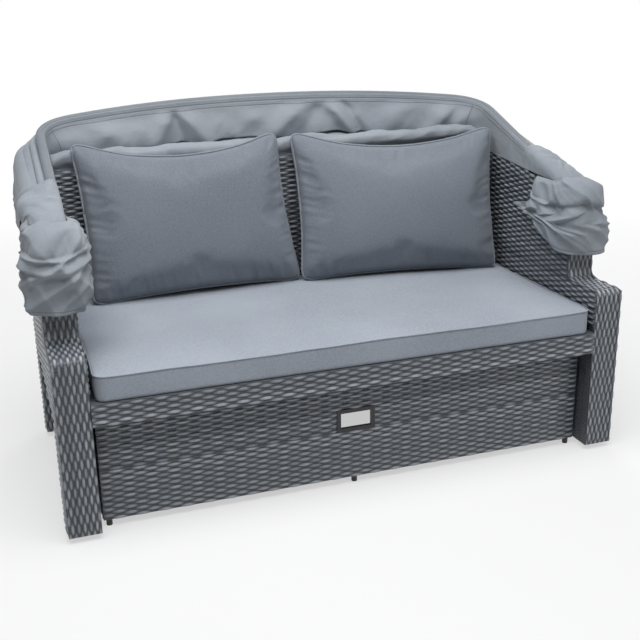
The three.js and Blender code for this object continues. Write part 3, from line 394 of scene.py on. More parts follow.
# place(along, across) gives points and normals; the strands' ends may differ from strand to strand
def wovenPatch(place, ends, acrossSpan, strandPitch, stakePitch):
    width = acrossSpan[1] - acrossSpan[0]
    count = max(1, round(width / strandPitch))
    pitch = width / count
    strand = np.repeat(np.arange(count), len(weave["edgeShares"]))
    share = np.tile(weave["edgeShares"], count)
    across = acrossSpan[0] + (strand + share) * pitch
    starts, stops = ends(acrossSpan[0] + (strand + 0.5) * pitch)
    longest = float(np.max(stops - starts))
    steps = max(4, math.ceil(longest / stakePitch * weave["samplesPerStake"]))
    run = np.linspace(0, 1, steps + 1)[None, :]
    along = starts[:, None] + (stops - starts)[:, None] * run
    across = np.repeat(across[:, None], steps + 1, axis=1)
    beat = np.cos(math.pi * (along / stakePitch + strand[:, None]))
    over = np.sign(beat) * np.abs(beat) ** weave["flatness"]
    rim = share[:, None] != 0.5
    height = weave["lift"] + weave["swing"] * over - weave["edgeDrop"] * rim
    uneven = randomness.normal(0, weave["unevenness"], count)
    height = height + uneven[strand][:, None]
    endGap = np.minimum(along - starts[:, None], stops[:, None] - along)
    height = height * np.clip(endGap / weave["edgeRoll"], 0, 1) ** 0.5
    points, normals = place(along, across)
    tone = np.clip(randomness.normal(0.5, weave["toneSpread"], count), 0, 1)[strand]
    return {
        "points": points + normals * height[..., None],
        "place": np.stack([along, across, np.repeat((strand * 0.37)[:, None], steps + 1, axis=1)], axis=-1),
        "strandTone": np.repeat(tone[:, None], steps + 1, axis=1),
        # Painted shade share: low where the strand dips under a stake, lower still along its edges
        "strandDepthShade": over * 0.5 + 0.5 - weave["edgeShade"] * rim,
        "spread": np.stack([along - along.min(), across - acrossSpan[0]], axis=-1),
    }


def wovenPiece(name, patches, body):
    faces, spreads = [], []
    start, shelf = 0, 0.0
    for patch in patches:
        faces.append(quadsOf(gridIndex(patch["strandTone"].shape, start)))
        start += patch["strandTone"].size
        spreads.append(patch["spread"].reshape(-1, 2) + (0, shelf))
        shelf += float(patch["spread"][..., 1].max()) + weave["shelfGap"]
    joined = lambda key, width: np.concatenate([patch[key].reshape(-1, width) for patch in patches])
    piece = addMesh(name, joined("points", 3), np.concatenate(faces), "strand")
    mesh = piece.data
    strandPlace = mesh.attributes.new("strandPlace", "FLOAT_VECTOR", "POINT")
    strandPlace.data.foreach_set("vector", joined("place", 3).astype(np.float32).ravel())
    for key in ("strandTone", "strandDepthShade"):
        mark = mesh.attributes.new(key, "FLOAT", "POINT")
        mark.data.foreach_set("value", joined(key, 1).astype(np.float32).ravel())
    spread = np.concatenate(spreads)
    spread = spread / spread.max()
    corners = np.empty(len(mesh.loops), np.int32)
    mesh.loops.foreach_get("vertex_index", corners)
    layer = mesh.uv_layers.new(name="OFBake")
    layer.data.foreach_set("uv", spread[corners].astype(np.float32).ravel())
    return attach(piece, body)


# A flat face: origin, the way the strands run, the way they are stacked
def flatPatch(origin, alongAxis, acrossAxis, ends, acrossSpan):
    origin, alongAxis, acrossAxis = (np.array(v, float) for v in (origin, alongAxis, acrossAxis))
    normal = np.cross(alongAxis, acrossAxis)

    def place(along, across):
        points = origin + along[..., None] * alongAxis + across[..., None] * acrossAxis
        return points, np.broadcast_to(normal, points.shape)

    if not callable(ends):
        fixed = ends
        ends = lambda across: (np.full(len(across), fixed[0]), np.full(len(across), fixed[1]))
    return wovenPatch(place, ends, acrossSpan, weave["strandPitch"], weave["stakePitch"])


# A flat face seen from +X, or from -X where facing is -1; ends gives where it starts and stops along Y
def sidePatch(x, facing, ends, acrossSpan):
    seen = ends
    if facing < 0 and callable(ends):
        ends = lambda across: tuple(-edge for edge in reversed(seen(across)))
    elif facing < 0:
        ends = (-seen[1], -seen[0])
    return flatPatch((x, 0, 0), (0, facing, 0), (0, 0, 1), ends, acrossSpan)


# Strands that follow a bent profile, given as (y, z) corners, spread over a width along X
def profilePatch(corners, xSpan):
    corners = np.array(corners, float)
    legs = np.linalg.norm(np.diff(corners, axis=0), axis=1)
    reach = np.concatenate([[0], np.cumsum(legs)])
    directions = np.diff(corners, axis=0) / legs[:, None]
    turned = np.stack([directions[:, 1] * -1, directions[:, 0]], axis=1)
    atCorners = np.concatenate([turned[:1], turned[:-1] + turned[1:], turned[-1:]])
    atCorners /= np.linalg.norm(atCorners, axis=1)[:, None]

    def place(along, across):
        y, z = (np.interp(along, reach, corners[:, axis]) for axis in range(2))
        ny, nz = (np.interp(along, reach, atCorners[:, axis]) for axis in range(2))
        normals = np.stack([np.zeros_like(ny), ny, nz], axis=-1)
        return np.stack([across, y, z], axis=-1), normals / np.linalg.norm(normals, axis=-1)[..., None]

    ends = lambda across: (np.zeros(len(across)), np.full(len(across), reach[-1]))
    return wovenPatch(place, ends, xSpan, sides["stripPitch"], sides["stripStake"])


def arc(centre, radius, start, stop, steps=4):
    turns = np.radians(np.linspace(start, stop, steps + 1))
    return [(centre[0] + radius * math.cos(t), centre[1] + radius * math.sin(t)) for t in turns]


# Woven sides: an arm, a step up to the high side behind it, two legs and a panel between them
sides = {
    "armHeight": 0.51,
    "armFlat": 0.13,
    "sweep": 0.03,
    "edge": 0.014,
    "shelfHeight": 0.771,
    "shelfRear": 0.27,
    "legDepth": 0.1,
    "rearLegStart": 0.7,
    "lowerEdge": 0.32,
    "railHeight": 0.025,
    "panelOut": 0.003,
    "stripPitch": 0.0079,
    "stripStake": 0.026,
    "seatLine": 0.4,
}


def slopeStart(z):
    rise = (z - sides["shelfHeight"]) / (sideHigh.z - sides["shelfHeight"])
    rear = sideHigh.y - frontY
    return np.where(z > sides["shelfHeight"], sides["shelfRear"] + rise * (rear - sides["shelfRear"]), 0)


def sideFace(x, facing, rear, lowest):
    step = sides["armFlat"] + sides["sweep"]

    def ends(z):
        start = np.where(z > sides["armHeight"], step, 0.0)
        start = np.maximum(start, slopeStart(z))
        return frontY + start, np.full(len(z), frontY + rear)

    return sidePatch(x, facing, ends, (lowest, sideHigh.z))


def wovenSide(name, sign):
    edge, step = sides["edge"], sides["armFlat"] + sides["sweep"]
    rear, lowerEdge = sideHigh.y, sides["lowerEdge"]
    profile = [(frontY, sideLow.z)]
    profile += arc((frontY + edge, sides["armHeight"] - edge), edge, 180, 90)
    profile += arc((frontY + sides["armFlat"], sides["armHeight"] + sides["sweep"]), sides["sweep"], -90, 0)
    profile += arc((frontY + step + edge, sides["shelfHeight"] - edge), edge, 180, 90)
    profile += [(frontY + sides["shelfRear"], sides["shelfHeight"])]
    profile += [(rear - edge, sideHigh.z), (rear, sideHigh.z - edge), (rear, sideLow.z)]
    legGap = [
        (frontY + sides["rearLegStart"], sideLow.z),
        (frontY + sides["rearLegStart"], lowerEdge),
        (frontY + sides["legDepth"], lowerEdge),
        (frontY + sides["legDepth"], sideLow.z),
    ]
    xSpan = sorted((sign * innerX, sign * outerX))
    patches = [profilePatch(line, xSpan) for line in (profile, legGap)]
    patches.append(sideFace(sign * outerX, sign, rear - frontY, lowerEdge))
    patches.append(sideFace(sign * innerX, -sign, backLow.y - frontY, sides["seatLine"]))
    for start, stop in ((0, sides["legDepth"]), (sides["rearLegStart"], rear - frontY)):
        span = (frontY + start, frontY + stop)
        patches.append(sidePatch(sign * outerX, sign, span, (sideLow.z, lowerEdge)))
    low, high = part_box(f"{name}_lower_panel")
    panelX = (low.x + high.x) / 2 + sign * sides["panelOut"]
    railX = high.x if sign > 0 else low.x
    railTop = low.z + sides["railHeight"]
    patches.append(sidePatch(panelX, sign, (low.y, high.y), (railTop, high.z)))
    patches.append(sidePatch(railX, sign, (low.y, high.y), (low.z, railTop)))
    wovenPiece(f"{name}SideWeave", patches, "root")


wovenSide("left", 1)
wovenSide("right", -1)


# Woven back and apron; a face that looks back or down runs the other way, over the same even span
def wovenBack():
    span = (backLow.x, backHigh.x)
    wovenPiece("backWeave", [
        flatPatch((0, backLow.y, 0), (1, 0, 0), (0, 0, 1), span, (sides["seatLine"], backHigh.z)),
        flatPatch((0, backHigh.y, 0), (-1, 0, 0), (0, 0, 1), span, (backLow.z, backHigh.z)),
        flatPatch((0, 0, backHigh.z), (1, 0, 0), (0, 1, 0), span, (backLow.y, backHigh.y)),
    ], "root")


def wovenApron():
    low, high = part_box("front_apron")
    span = (low.x, high.x)
    wovenPiece("apronWeave", [
        flatPatch((0, low.y, 0), (1, 0, 0), (0, 0, 1), span, (low.z, high.z)),
        flatPatch((0, 0, low.z), (-1, 0, 0), (0, 1, 0), span, (low.y, high.y)),
    ], "root")


# Woven ottoman, with the hand hole left open in its front
def wovenOttoman():
    low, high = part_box("ottoman_front")
    rear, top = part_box("ottoman_rear")[1].y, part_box("ottoman_top")[1].z
    holeLow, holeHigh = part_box("hand_hole_frame")
    span, depth, tall = (low.x, high.x), (low.y, rear), (low.z, top)
    front = lambda ends, across: flatPatch((0, low.y, 0), (1, 0, 0), (0, 0, 1), ends, across)
    wovenPiece("ottomanWeave", [
        front(span, (low.z, holeLow.z)),
        front((low.x, holeLow.x), (holeLow.z, holeHigh.z)),
        front((holeHigh.x, high.x), (holeLow.z, holeHigh.z)),
        front(span, (holeHigh.z, top)),
        flatPatch((0, 0, top), (1, 0, 0), (0, 1, 0), span, depth),
        flatPatch((0, rear, 0), (-1, 0, 0), (0, 0, 1), span, tall),
        sidePatch(high.x, 1, depth, tall),
        sidePatch(low.x, -1, depth, tall),
    ], "ottoman")


wovenBack()
wovenApron()
wovenOttoman()
print("weave ready")


# Soft folds and creases, from the same noise each run
def ripple(along, down, cell, seed):
    spots = zip((along / cell[0]).ravel(), (down / cell[1]).ravel())
    values = np.array([noise.noise(Vector((a, d, seed))) for a, d in spots])
    return values.reshape(along.shape)


def crease(along, down, cell, seed):
    return 1 - 2.4 * np.abs(ripple(along, down, cell, seed))


# Waves along one line, as of a hem
def waves(along, cell, seed):
    return ripple(along, np.zeros_like(along), (cell, 1), seed)


# Folds that lean by slant as they go down, and are drawn out downwards where stretch is small
def slanting(kind, along, down, slant, stretch, cell, seed):
    return kind(along + slant * down, down * stretch, cell, seed)


def smoothStep(value, low, high):
    share = np.clip((value - low) / (high - low), 0, 1)
    return share * share * (3 - 2 * share)


# Rises to 1 between the first two values and falls back to 0 between the last two
def window(value, rise, full, fall, end):
    return smoothStep(value, rise, full) * (1 - smoothStep(value, fall, end))


def between(first, last, share):
    return first + (last - first) * share


# Cushions: padded pieces are blown up a little as sewn cloth, and stay within a few millimetres of their cut
filling = {
    "quality": 6,
    "mass": 0.25,
    "steps": 20,
    "shearPart": 3,
}


def swell(piece, look):
    start = np.empty(len(piece.data.vertices) * 3)
    piece.data.vertices.foreach_get("co", start)
    cloth = piece.modifiers.new("filling", "CLOTH")
    settings = cloth.settings
    settings.quality = filling["quality"]
    settings.mass = filling["mass"]
    settings.tension_stiffness = settings.compression_stiffness = look["stiffness"]
    settings.shear_stiffness = look["stiffness"] / filling["shearPart"]
    settings.bending_stiffness = look["bending"]
    settings.use_pressure = True
    settings.uniform_pressure_force = look["pressure"]
    settings.effector_weights.gravity = 0
    cloth.point_cache.frame_start, cloth.point_cache.frame_end = 1, filling["steps"]
    for step in range(1, filling["steps"] + 1):
        scene.frame_set(step)
    blown = piece.evaluated_get(bpy.context.evaluated_depsgraph_get()).to_mesh()
    after = np.empty(len(blown.vertices) * 3)
    blown.vertices.foreach_get("co", after)
    piece.modifiers.remove(cloth)
    scene.frame_set(1)
    move = (after - start).reshape(-1, 3)
    size = np.linalg.norm(move, axis=1)[:, None]
    move *= np.minimum(1, look["cap"] / np.maximum(size, 1e-9))
    return start.reshape(-1, 3) + move


# A cushion's last steps: its points, one level of smoothing, and what it stands for
def finishCushion(piece, points, replaced):
    piece.data.vertices.foreach_set("co", np.asarray(points, np.float32).ravel())
    piece.data.update()
    soft = piece.modifiers.new("smooth", "SUBSURF")
    soft.levels = soft.render_levels = 1
    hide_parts(replaced)
    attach(piece, "root")


# A sewn edge: a closed tube of cloth through the given points
def addWelt(name, points, radius, finish):
    curve = bpy.data.curves.new(name, "CURVE")
    curve.dimensions = "3D"
    curve.bevel_depth = radius
    curve.bevel_resolution = 2
    curve.materials.append(finishes[finish])
    line = curve.splines.new("POLY")
    line.points.add(len(points) - 1)
    for spot, point in zip(line.points, points):
        spot.co = (*point, 1)
    line.use_cyclic_u = True
    welt = bpy.data.objects.new(name, curve)
    scene.collection.objects.link(welt)
    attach(welt, "root")


# Back cushions: two skins sewn round the edge, blown up, leaned back and piped
backCushions = {
    "step": 0.0075,
    "cut": (0.69, 0.498, 0.13),
    "size": (0.668, 0.48, 0.158),
    "fullness": 0.36,
    "sidePull": 0.004,
    "topSag": 0.05,
    "cornerRound": 0.012,
    "cornerPower": 14,
    "sideDip": 0.006,
    "earRoom": 1.02,
    "bottomDip": 0.006,
    "pucker": 0.0055,
    "puckerCell": 0.027,
    "puckerReach": 0.03,
    "puckerFade": 2.2,
    "puckerSlant": 0.25,
    "seeds": {"left": 7.3, "right": 2.9},
    "piping": 0.0038,
    "pressure": 9.0,
    "stiffness": 30.0,
    "bending": 2.5,
    "cap": 0.022,
    "offBack": 0.004,
    "tight": 0.02,  # pressed in by the rear panel above rollFrom, and free again above topFrom
    "rollFrom": (0.82, 0.85),
    "topFrom": (0.92, 0.932),
    "topFree": 0.012,
    "sink": 0.0033,
    "corners": {
        "right": ((-0.646, 0.576, 0.47), (0.016, 0.62, 0.47), (-0.662, 0.7, 0.939), (-0.035, 0.69, 0.936)),
        "left": ((0.03, 0.595, 0.47), (0.677, 0.513, 0.47), (0.028, 0.69, 0.932), (0.705, 0.638, 0.9175)),
    },
}


def cushionSkins(look):
    width, height, depth = look["cut"]
    columns, rows = round(width / look["step"]), round(height / look["step"])
    u, v = np.meshgrid(np.linspace(-1, 1, columns + 1), np.linspace(-1, 1, rows + 1))
    full = (np.clip(1 - u**2, 0, 1) * np.clip(1 - v**2, 0, 1)) ** look["fullness"]
    x = u * (width / 2 - look["sidePull"] * (1 - v**2))
    z = v * (height / 2 - look["sidePull"] * (1 - u**2))
    rounded = look["cornerRound"] * (np.abs(u) * np.abs(v)) ** look["cornerPower"]
    x, z = x - rounded * np.sign(u), z - rounded * np.sign(v)
    front, rear = (np.stack([x, facing * full * depth / 2, z], axis=-1) for facing in (-1, 1))
    index = gridIndex(u.shape)
    inside = insideOf(index)
    rearIndex = index.copy()
    rearIndex[inside] = u.size + np.arange(inside.sum())
    points = np.concatenate([front.reshape(-1, 3), rear[inside]])
    return points, np.concatenate([quadsOf(index), quadsOf(rearIndex, (3, 2, 1, 0))]), rimOf(index)


# Short creases that run in from the sewn edge
def pucker(look, across, up, seed):
    width, height = look["size"][:2]
    fromSide = (1 - np.abs(across)) * width / 2
    fromEnd = (1 - np.abs(up)) * height / 2
    alongSide = np.where(fromSide < fromEnd, up * height / 2, across * width / 2)
    inward = np.minimum(fromSide, fromEnd)
    which = np.where(fromSide < fromEnd, 0.3 * np.sign(across), 0.7 * np.sign(up))
    folds = crease(alongSide + look["puckerSlant"] * inward, which, (look["puckerCell"], 1.0), seed)
    near = inward / look["puckerReach"]
    return look["pucker"] * folds * near * np.exp(1 - near) * np.exp(-(near / look["puckerFade"]) ** 2)


def makeBackCushion(side):
    look = backCushions
    width, height, depth = look["size"]
    points, quads, rim = cushionSkins(look)
    piece = addMesh(f"{side}BackCushion", points, quads, "shadedBackCloth")
    points = swell(piece, look)
    low, high = points.min(axis=0), points.max(axis=0)
    points = (points - (low + high) / 2) / (high - low) * 2
    across, deep, up = points[:, 0], points[:, 1] * depth / 2, points[:, 2]
    deep = deep + np.sign(deep) * pucker(look, across, up, look["seeds"][side])
    a = across * (1 - look["sideDip"] / width * 2 * (1 - up**2)) / 2 + 0.5
    b = up / 2 + 0.5 - look["topSag"] / height * (1 - across**2) * smoothStep(up, -0.4, 1.0)
    b = b + look["bottomDip"] / height * (1 - across**2) * smoothStep(-up, 0.3, 1.0)
    lowLeft, lowRight, highLeft, highRight = (np.array(corner) for corner in look["corners"][side])
    a, b = ((value - 0.5) * look["earRoom"] + 0.5 for value in (a[:, None], b[:, None]))
    base = (lowLeft * (1 - a) + lowRight * a) * (1 - b) + (highLeft * (1 - a) + highRight * a) * b
    toFront = np.cross(lowRight - lowLeft, highLeft - lowLeft)
    toFront /= np.linalg.norm(toFront)
    placed = base - toFront * deep[:, None]
    z = placed[:, 2]
    limit = backLow.y - frontY - look["tight"] * smoothStep(z, *look["rollFrom"]) - look["offBack"]
    limit = limit + (look["tight"] + look["topFree"]) * smoothStep(z, *look["topFrom"])
    placed[:, 1] = np.minimum(placed[:, 1], limit) + frontY
    placed[:, 2] = np.maximum(z, seatHigh.z - look["sink"])
    finishCushion(piece, placed, f"{side}_back_cushion")
    addWelt(f"{side}BackPiping", placed[rim], look["piping"], "piping")


# Seat cushion: a box cut, its top and bottom panels sewn to a side band
seatCushion = {
    "step": 0.0105,
    "corner": 0.032,
    "rearCorner": 0.025,
    "inset": 0.004,
    "bottomLift": 0.0005,
    "crown": 0.007,
    "pressure": 3.0,
    "stiffness": 30.0,
    "bending": 0.6,
    "cap": 0.009,
    "bandRows": 7,
    "pastLow": (0.001, 0.002, 0.0),
    "pastHigh": (0.001, 0.0, 0.002),
    "dip": 0.003,
    "dipFold": (0, 1, (0.3, 0.22), 1.7),
    "crease": 0.0012,
    "creaseFold": (0.3, 1, (0.22, 0.12), 6.6),
    "dipReach": 0.01,
    "welt": 0.0016,
}


# The cushion's plan as a grid, pushed in at its rounded corners
def seatPlan():
    look = seatCushion
    inset = look["inset"]
    x0, x1 = seatLow.x + inset, seatHigh.x - inset
    y0, y1 = seatLow.y + inset, seatHigh.y - inset
    columns, rows = round((x1 - x0) / look["step"]), round((y1 - y0) / look["step"])
    x, y = np.meshgrid(np.linspace(x0, x1, columns + 1), np.linspace(y0, y1, rows + 1))
    for signX, endX in ((-1, x0), (1, x1)):
        for signY, endY, radius in ((-1, y0, look["corner"]), (1, y1, look["rearCorner"])):
            cx, cy = endX - signX * radius, endY - signY * radius
            a, b = (x - cx) * signX / radius, (y - cy) * signY / radius
            inCorner = (a > 0) & (b > 0)
            a, b = np.clip(a, 0, 1), np.clip(b, 0, 1)
            x = np.where(inCorner, cx + signX * radius * a * np.sqrt(1 - b * b / 2), x)
            y = np.where(inCorner, cy + signY * radius * b * np.sqrt(1 - a * a / 2), y)
    return x, y


# Two skins over one plan and the band between them
def boxSkins(x, y, low, high, bandRows):
    index = gridIndex(x.shape)
    inside, rim = insideOf(index), rimOf(index)
    top = np.stack([x, y, np.full(x.shape, high)], axis=-1)
    points, rings = [top.reshape(-1, 3)], [rim]
    start = x.size
    for level in np.linspace(0, 1, bandRows + 1)[1:]:
        ring = points[0][rim]
        ring[:, 2] = between(high, low, level)
        points.append(ring)
        rings.append(start + np.arange(len(rim)))
        start += len(rim)
    bottomIndex = np.zeros(x.shape, int)
    bottomIndex.reshape(-1)[rim] = rings[-1]
    bottomIndex[inside] = start + np.arange(inside.sum())
    bottom = top[inside]
    bottom[:, 2] = low
    quads = [quadsOf(index), quadsOf(bottomIndex, (0, 3, 2, 1))]
    for above, below in zip(rings[:-1], rings[1:]):
        quads.append(np.stack([above, below, np.roll(below, -1), np.roll(above, -1)], axis=-1))
    return np.concatenate([*points, bottom]), np.concatenate(quads), rim


def makeSeatCushion():
    look = seatCushion
    low, high = seatLow.z + look["bottomLift"], seatHigh.z - look["crown"]
    points, quads, rim = boxSkins(*seatPlan(), low, high, look["bandRows"])
    piece = addMesh("seatCushion", points, quads, "litSeatCloth")
    points = swell(piece, look)
    points = np.clip(points, np.subtract(seatLow, look["pastLow"]), np.add(seatHigh, look["pastHigh"]))
    x, y, z = points.T
    dip = look["dip"] * slanting(ripple, x, y, *look["dipFold"])
    dip += look["crease"] * slanting(crease, x, y, *look["creaseFold"])
    points[:, 2] += dip * smoothStep(z, high - look["dipReach"], high)
    finishCushion(piece, points, "seat_cushion")
    addWelt("seatTopSeam", points[rim], look["welt"], "litSeatCloth")


# The length of a sheet along its rows, and the width that gives it its whole area
def flatSize(points):
    length = float(np.linalg.norm(np.diff(points, axis=1), axis=-1).sum(axis=1).mean())
    across = np.cross(points[1:, 1:] - points[:-1, :-1], points[1:, :-1] - points[:-1, 1:])
    area = float(np.linalg.norm(across, axis=-1).sum()) / 2
    return round(area / length, 3), round(length, 3)


sheetThickness = 0.0012


# Cloth from a grid of points; shadeMarks holds the stitched rows or columns and the sleeve band, and how
# strongly each is darkened with painted shade
def clothSheet(name, points, shadeMarks, replaced):
    piece = addMesh(name, points.reshape(-1, 3), quadsOf(gridIndex(points.shape)), "canopyCloth")
    marks = np.zeros(points.shape[:2], np.float32)
    for place, mark in shadeMarks:
        marks[place] = mark
    piece.data.attributes.new("shadedSeam", "FLOAT", "POINT").data.foreach_set("value", marks.ravel())
    thick = piece.modifiers.new("thickness", "SOLIDIFY")
    thick.thickness = sheetThickness
    thick.offset = 0
    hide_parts(*replaced)
    flatSize(points)
    return piece


# Canopy bows, as the cloth needs them (metres and degrees)
bows = {
    "crown": 0.722,
    "crownDrop": 0.118,
    "arm": 0.515,
    "armStart": 0.0113,
    "halfHub": 0.00985,
    "sleeve": 0.0128,
    "frontAngle": 19.2,
    "stackAngle": 2.9,
    "cornerShare": 0.86,
    "archShare": 0.5,
    "armShare": 0.8,
    "power": 2.2,
    "clothStart": 0.19,
}
bowAngle, bowHalf = {}, {}
for place, name in enumerate(("front", "upper", "lower", "rear")):
    bowAngle[name] = math.radians(bows["frontAngle"] - bows["stackAngle"] * place)
    bowHalf[name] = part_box(f"canopy_{name}_bow")[1].x - bows["halfHub"]


# A bow in its own plane: x and the distance from the pivot line, for t from -1 to 1
def bowLine(half, t):
    place, side = np.abs(t), np.where(t < 0, -1.0, 1.0)
    turnX, drop, power = half * bows["cornerShare"], bows["crownDrop"], bows["power"]
    archX = turnX * np.minimum(place / bows["archShare"], 1)
    archY = bows["crown"] - drop * (archX / half) ** power
    startY = bows["crown"] - drop * bows["cornerShare"] ** power
    slope = power * drop / half * bows["cornerShare"] ** (power - 1)
    middleY = startY - slope * (half - turnX)
    u = np.clip((place - bows["archShare"]) / (bows["armShare"] - bows["archShare"]), 0, 1)
    cornerX = (1 - u) ** 2 * turnX + (1 - (1 - u) ** 2) * half
    cornerY = (1 - u) ** 2 * startY + 2 * u * (1 - u) * middleY + u * u * bows["arm"]
    v = np.clip((place - bows["armShare"]) / (1 - bows["armShare"]), 0, 1)
    armY = bows["arm"] + (bows["armStart"] - bows["arm"]) * v
    onArch, onCorner = place <= bows["archShare"], place <= bows["armShare"]
    x = np.where(onArch, archX, np.where(onCorner, cornerX, half))
    y = np.where(onArch, archY, np.where(onCorner, cornerY, armY))
    return side * x, y


# Evenly spaced stations along a bow, down each arm as far as the cloth starts
def bowStations(name, spacing):
    t = np.linspace(-1, 1, 6001)
    x, y = bowLine(bowHalf[name], t)
    keep = (np.abs(t) < bows["armShare"]) | (y >= bows["clothStart"])
    t, x, y = t[keep], x[keep], y[keep]
    length = np.concatenate([[0], np.cumsum(np.hypot(np.diff(x), np.diff(y)))])
    at = np.linspace(0, length[-1], round(length[-1] / spacing) + 1)
    return np.interp(at, length, t), at - length[-1] / 2


def onPlane(x, reach, lift, angle):
    y = pivotY + reach * math.cos(angle) - lift * math.sin(angle)
    z = pivotZ + reach * math.sin(angle) + lift * math.cos(angle)
    return np.stack(np.broadcast_arrays(x, y, z), axis=-1)


# Points beside a bow: out is away from the bow's inside, lift is above its plane
def besideBow(name, t, out, lift, step=1e-4):
    x, reach = bowLine(bowHalf[name], t)
    x0, y0 = bowLine(bowHalf[name], t - step)
    x1, y1 = bowLine(bowHalf[name], t + step)
    size = np.hypot(x1 - x0, y1 - y0)
    outX, outY = -(y1 - y0) / size, (x1 - x0) / size
    return onPlane(x + out * outX, reach + out * outY, lift, bowAngle[name])


# How far a place on a bow is round at the back: 0 on the arms, 1 behind
def aroundShare(t):
    return smoothStep(0.82 - np.abs(t), 0, 0.25)


def sleeveArc(first, last, count, columns, radius=bows["sleeve"]):
    turn = np.radians(np.linspace(first, last, count))[:, None]
    return [np.tile(way(turn) * radius, columns) for way in (np.cos, np.sin)]


# Rows of a sheet as shares from 0 to 1: so many up to a turn and so many after it, without the 0
def shares(turn, before, after):
    rows = np.linspace(0, turn, before + 1)[1:], np.linspace(turn, 1, after + 1)[1:]
    return np.concatenate(rows)[:, None]


def bendBetween(piece, above, below, name, start, stop):
    spots = [Vector(onPlane(0.0, bows["crown"], lift, bowAngle[name])) for lift in (start, stop)]
    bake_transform(piece)


# Front fold: the sleeve on the front bow and the cloth that hangs inside it, behind the cushions
frontFold = {
    "spacing": 0.0055,
    "hem": 0.914,
    "shoulderHem": 0.888,
    "hemWave": 0.012,
    "hemCell": (0.16, 3.7),
    "flapAngle": 14,
    "offSleeve": 0.003,
    "foldDepth": 0.016,
    "soft": 0.011,
    "wrinkle": 0.0025,
    "broad": (0.9, 1, (0.26, 0.3), 1.3),
    "swell": (-1.3, 1, (0.13, 0.2), 5.1),
    "fine": (0.8, 1.2, (0.09, 0.12), 9.4),
    "bandShare": 0.16,
    "bandRows": 4,
    "foldRows": 25,
    "sleeveRows": 24,
    "sleeveTurn": (-165, 180),
    "cornerSeam": 0.65,
    "hemRows": 4,
    "hemCurl": 0.012,
    "hemSink": 0.004,
    "hemRise": 0.016,
    "bend": (-0.014, -0.075),
    "returnRows": 14,
    "returnSag": 0.012,
    "returnTop": (-0.012, -0.004),
    # along the bow at the top and at the hem, half width, height
    "folds": (
        (-0.345, -0.4, 0.03, 0.024),
        (-0.325, -0.3, 0.018, -0.02),
        (-0.3, -0.22, 0.03, 0.022),
        (-0.6, -0.5, 0.05, 0.016),
        (0.12, 0.0, 0.045, 0.026),
        (0.2, 0.12, 0.03, -0.012),
        (0.216, 0.3, 0.028, 0.026),
        (0.26, 0.34, 0.02, -0.016),
        (0.5, 0.42, 0.05, 0.02),
        (0.66, 0.6, 0.03, 0.024),
    ),
}


# How far the cloth hangs down from the front bow
def frontDrop(t, along, back, angle):
    look = frontFold
    reach = bowLine(bowHalf["front"], t)[1]
    hem = between(look["shoulderHem"], look["hem"], back)
    hem = hem + back * look["hemWave"] * waves(along, *look["hemCell"])
    overBack = (pivotZ + reach * math.sin(angle) - hem) * math.cos(angle)
    beside = reach * math.tan(math.radians(look["flapAngle"]))
    return between(beside, overBack, smoothStep(0.8 - np.abs(t), 0, 0.06))


# The folds laid one by one, and the loose creases between them
def frontFolds(along, down, share, back):
    look = frontFold
    along = np.broadcast_to(along, down.shape)
    laid = np.zeros(down.shape)
    for first, last, wide, high in look["folds"]:
        laid += high * np.exp(-(((along - first - (last - first) * share) / wide) ** 2))
    laid = laid * smoothStep(share, 0.08, 0.4) * (1 - 0.35 * share) * back
    soft = slanting(crease, along, down, *look["broad"]) * 0.55
    soft = soft + slanting(ripple, along, down, *look["swell"]) * 1.1
    fine = slanting(crease, along, down, *look["fine"])
    slack = smoothStep(share, look["bandShare"], 0.55) * (0.25 + 0.75 * back)
    return laid, slack * (look["soft"] * soft + look["wrinkle"] * fine)


def makeFrontFold():
    look = frontFold
    t, along = bowStations("front", look["spacing"])
    columns, wound = len(t), look["sleeveRows"]
    back, angle = aroundShare(t), bowAngle["front"]
    drop = frontDrop(t, along, back, angle)
    share = shares(look["bandShare"], look["bandRows"], look["foldRows"])
    laid, loose = frontFolds(along, share * drop, share, back)
    lean = math.tan(angle) * share * drop * back
    belly = look["foldDepth"] * back * np.sin(share * math.pi * 0.62) ** 2
    out = -bows["sleeve"] - look["offSleeve"] - lean - belly - laid - loose
    lift = -share * drop
    turned = np.linspace(0, 1, look["hemRows"] + 1)[1:, None]
    curled = smoothStep(back, 0.1, 0.6)
    hemOut = out[-1] + look["hemCurl"] * np.sin(turned * 2.2) * curled
    hemLift = lift[-1] - look["hemSink"] * np.sin(turned * math.pi) + look["hemRise"] * turned**2 * curled
    sleeveOut, sleeveLift = sleeveArc(*look["sleeveTurn"], wound, columns)
    out = np.concatenate([sleeveOut, out, hemOut])
    lift = np.concatenate([sleeveLift, lift, hemLift])
    # Painted shade: the sleeve's rows are darkened for its front face in shade, and the seam lines below it
    # and at the corners for the shade in their recess
    shadeMarks = [(slice(wound - 3), 0.8), (wound, 1), (wound + 3, 0.75)]
    for corner in (-look["cornerSeam"], look["cornerSeam"]):
        shadeMarks.append(((slice(wound, None), np.argmin(np.abs(t - corner))), 0.85))
    points = besideBow("front", t, out, lift)
    piece = clothSheet(
        "frontFoldCloth", points, shadeMarks, ["canopy_front_cloth"],
    )
    bendBetween(piece, "front_bow_set", "upper_bow_set", "front", *look["bend"])
    makeFoldReturn(t, points[-1])


# The same cloth's way back up from its hem to the upper bow, hidden until the canopy opens
def makeFoldReturn(t, hem):
    look = frontFold
    top = besideBow("upper", t, *look["returnTop"])
    share = np.linspace(0, 1, look["returnRows"])[:, None]
    sag = look["returnSag"] * np.sin(share * math.pi)
    points = between(top, hem, share[..., None])
    points[..., 1] += sag * aroundShare(t)
    points[..., 2] += 0.3 * sag * (1 - aroundShare(t))
    piece = clothSheet(
        "foldReturnCloth", points, [], ["canopy_front_cloth"],
    )
    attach(piece, "upper_bow_set")


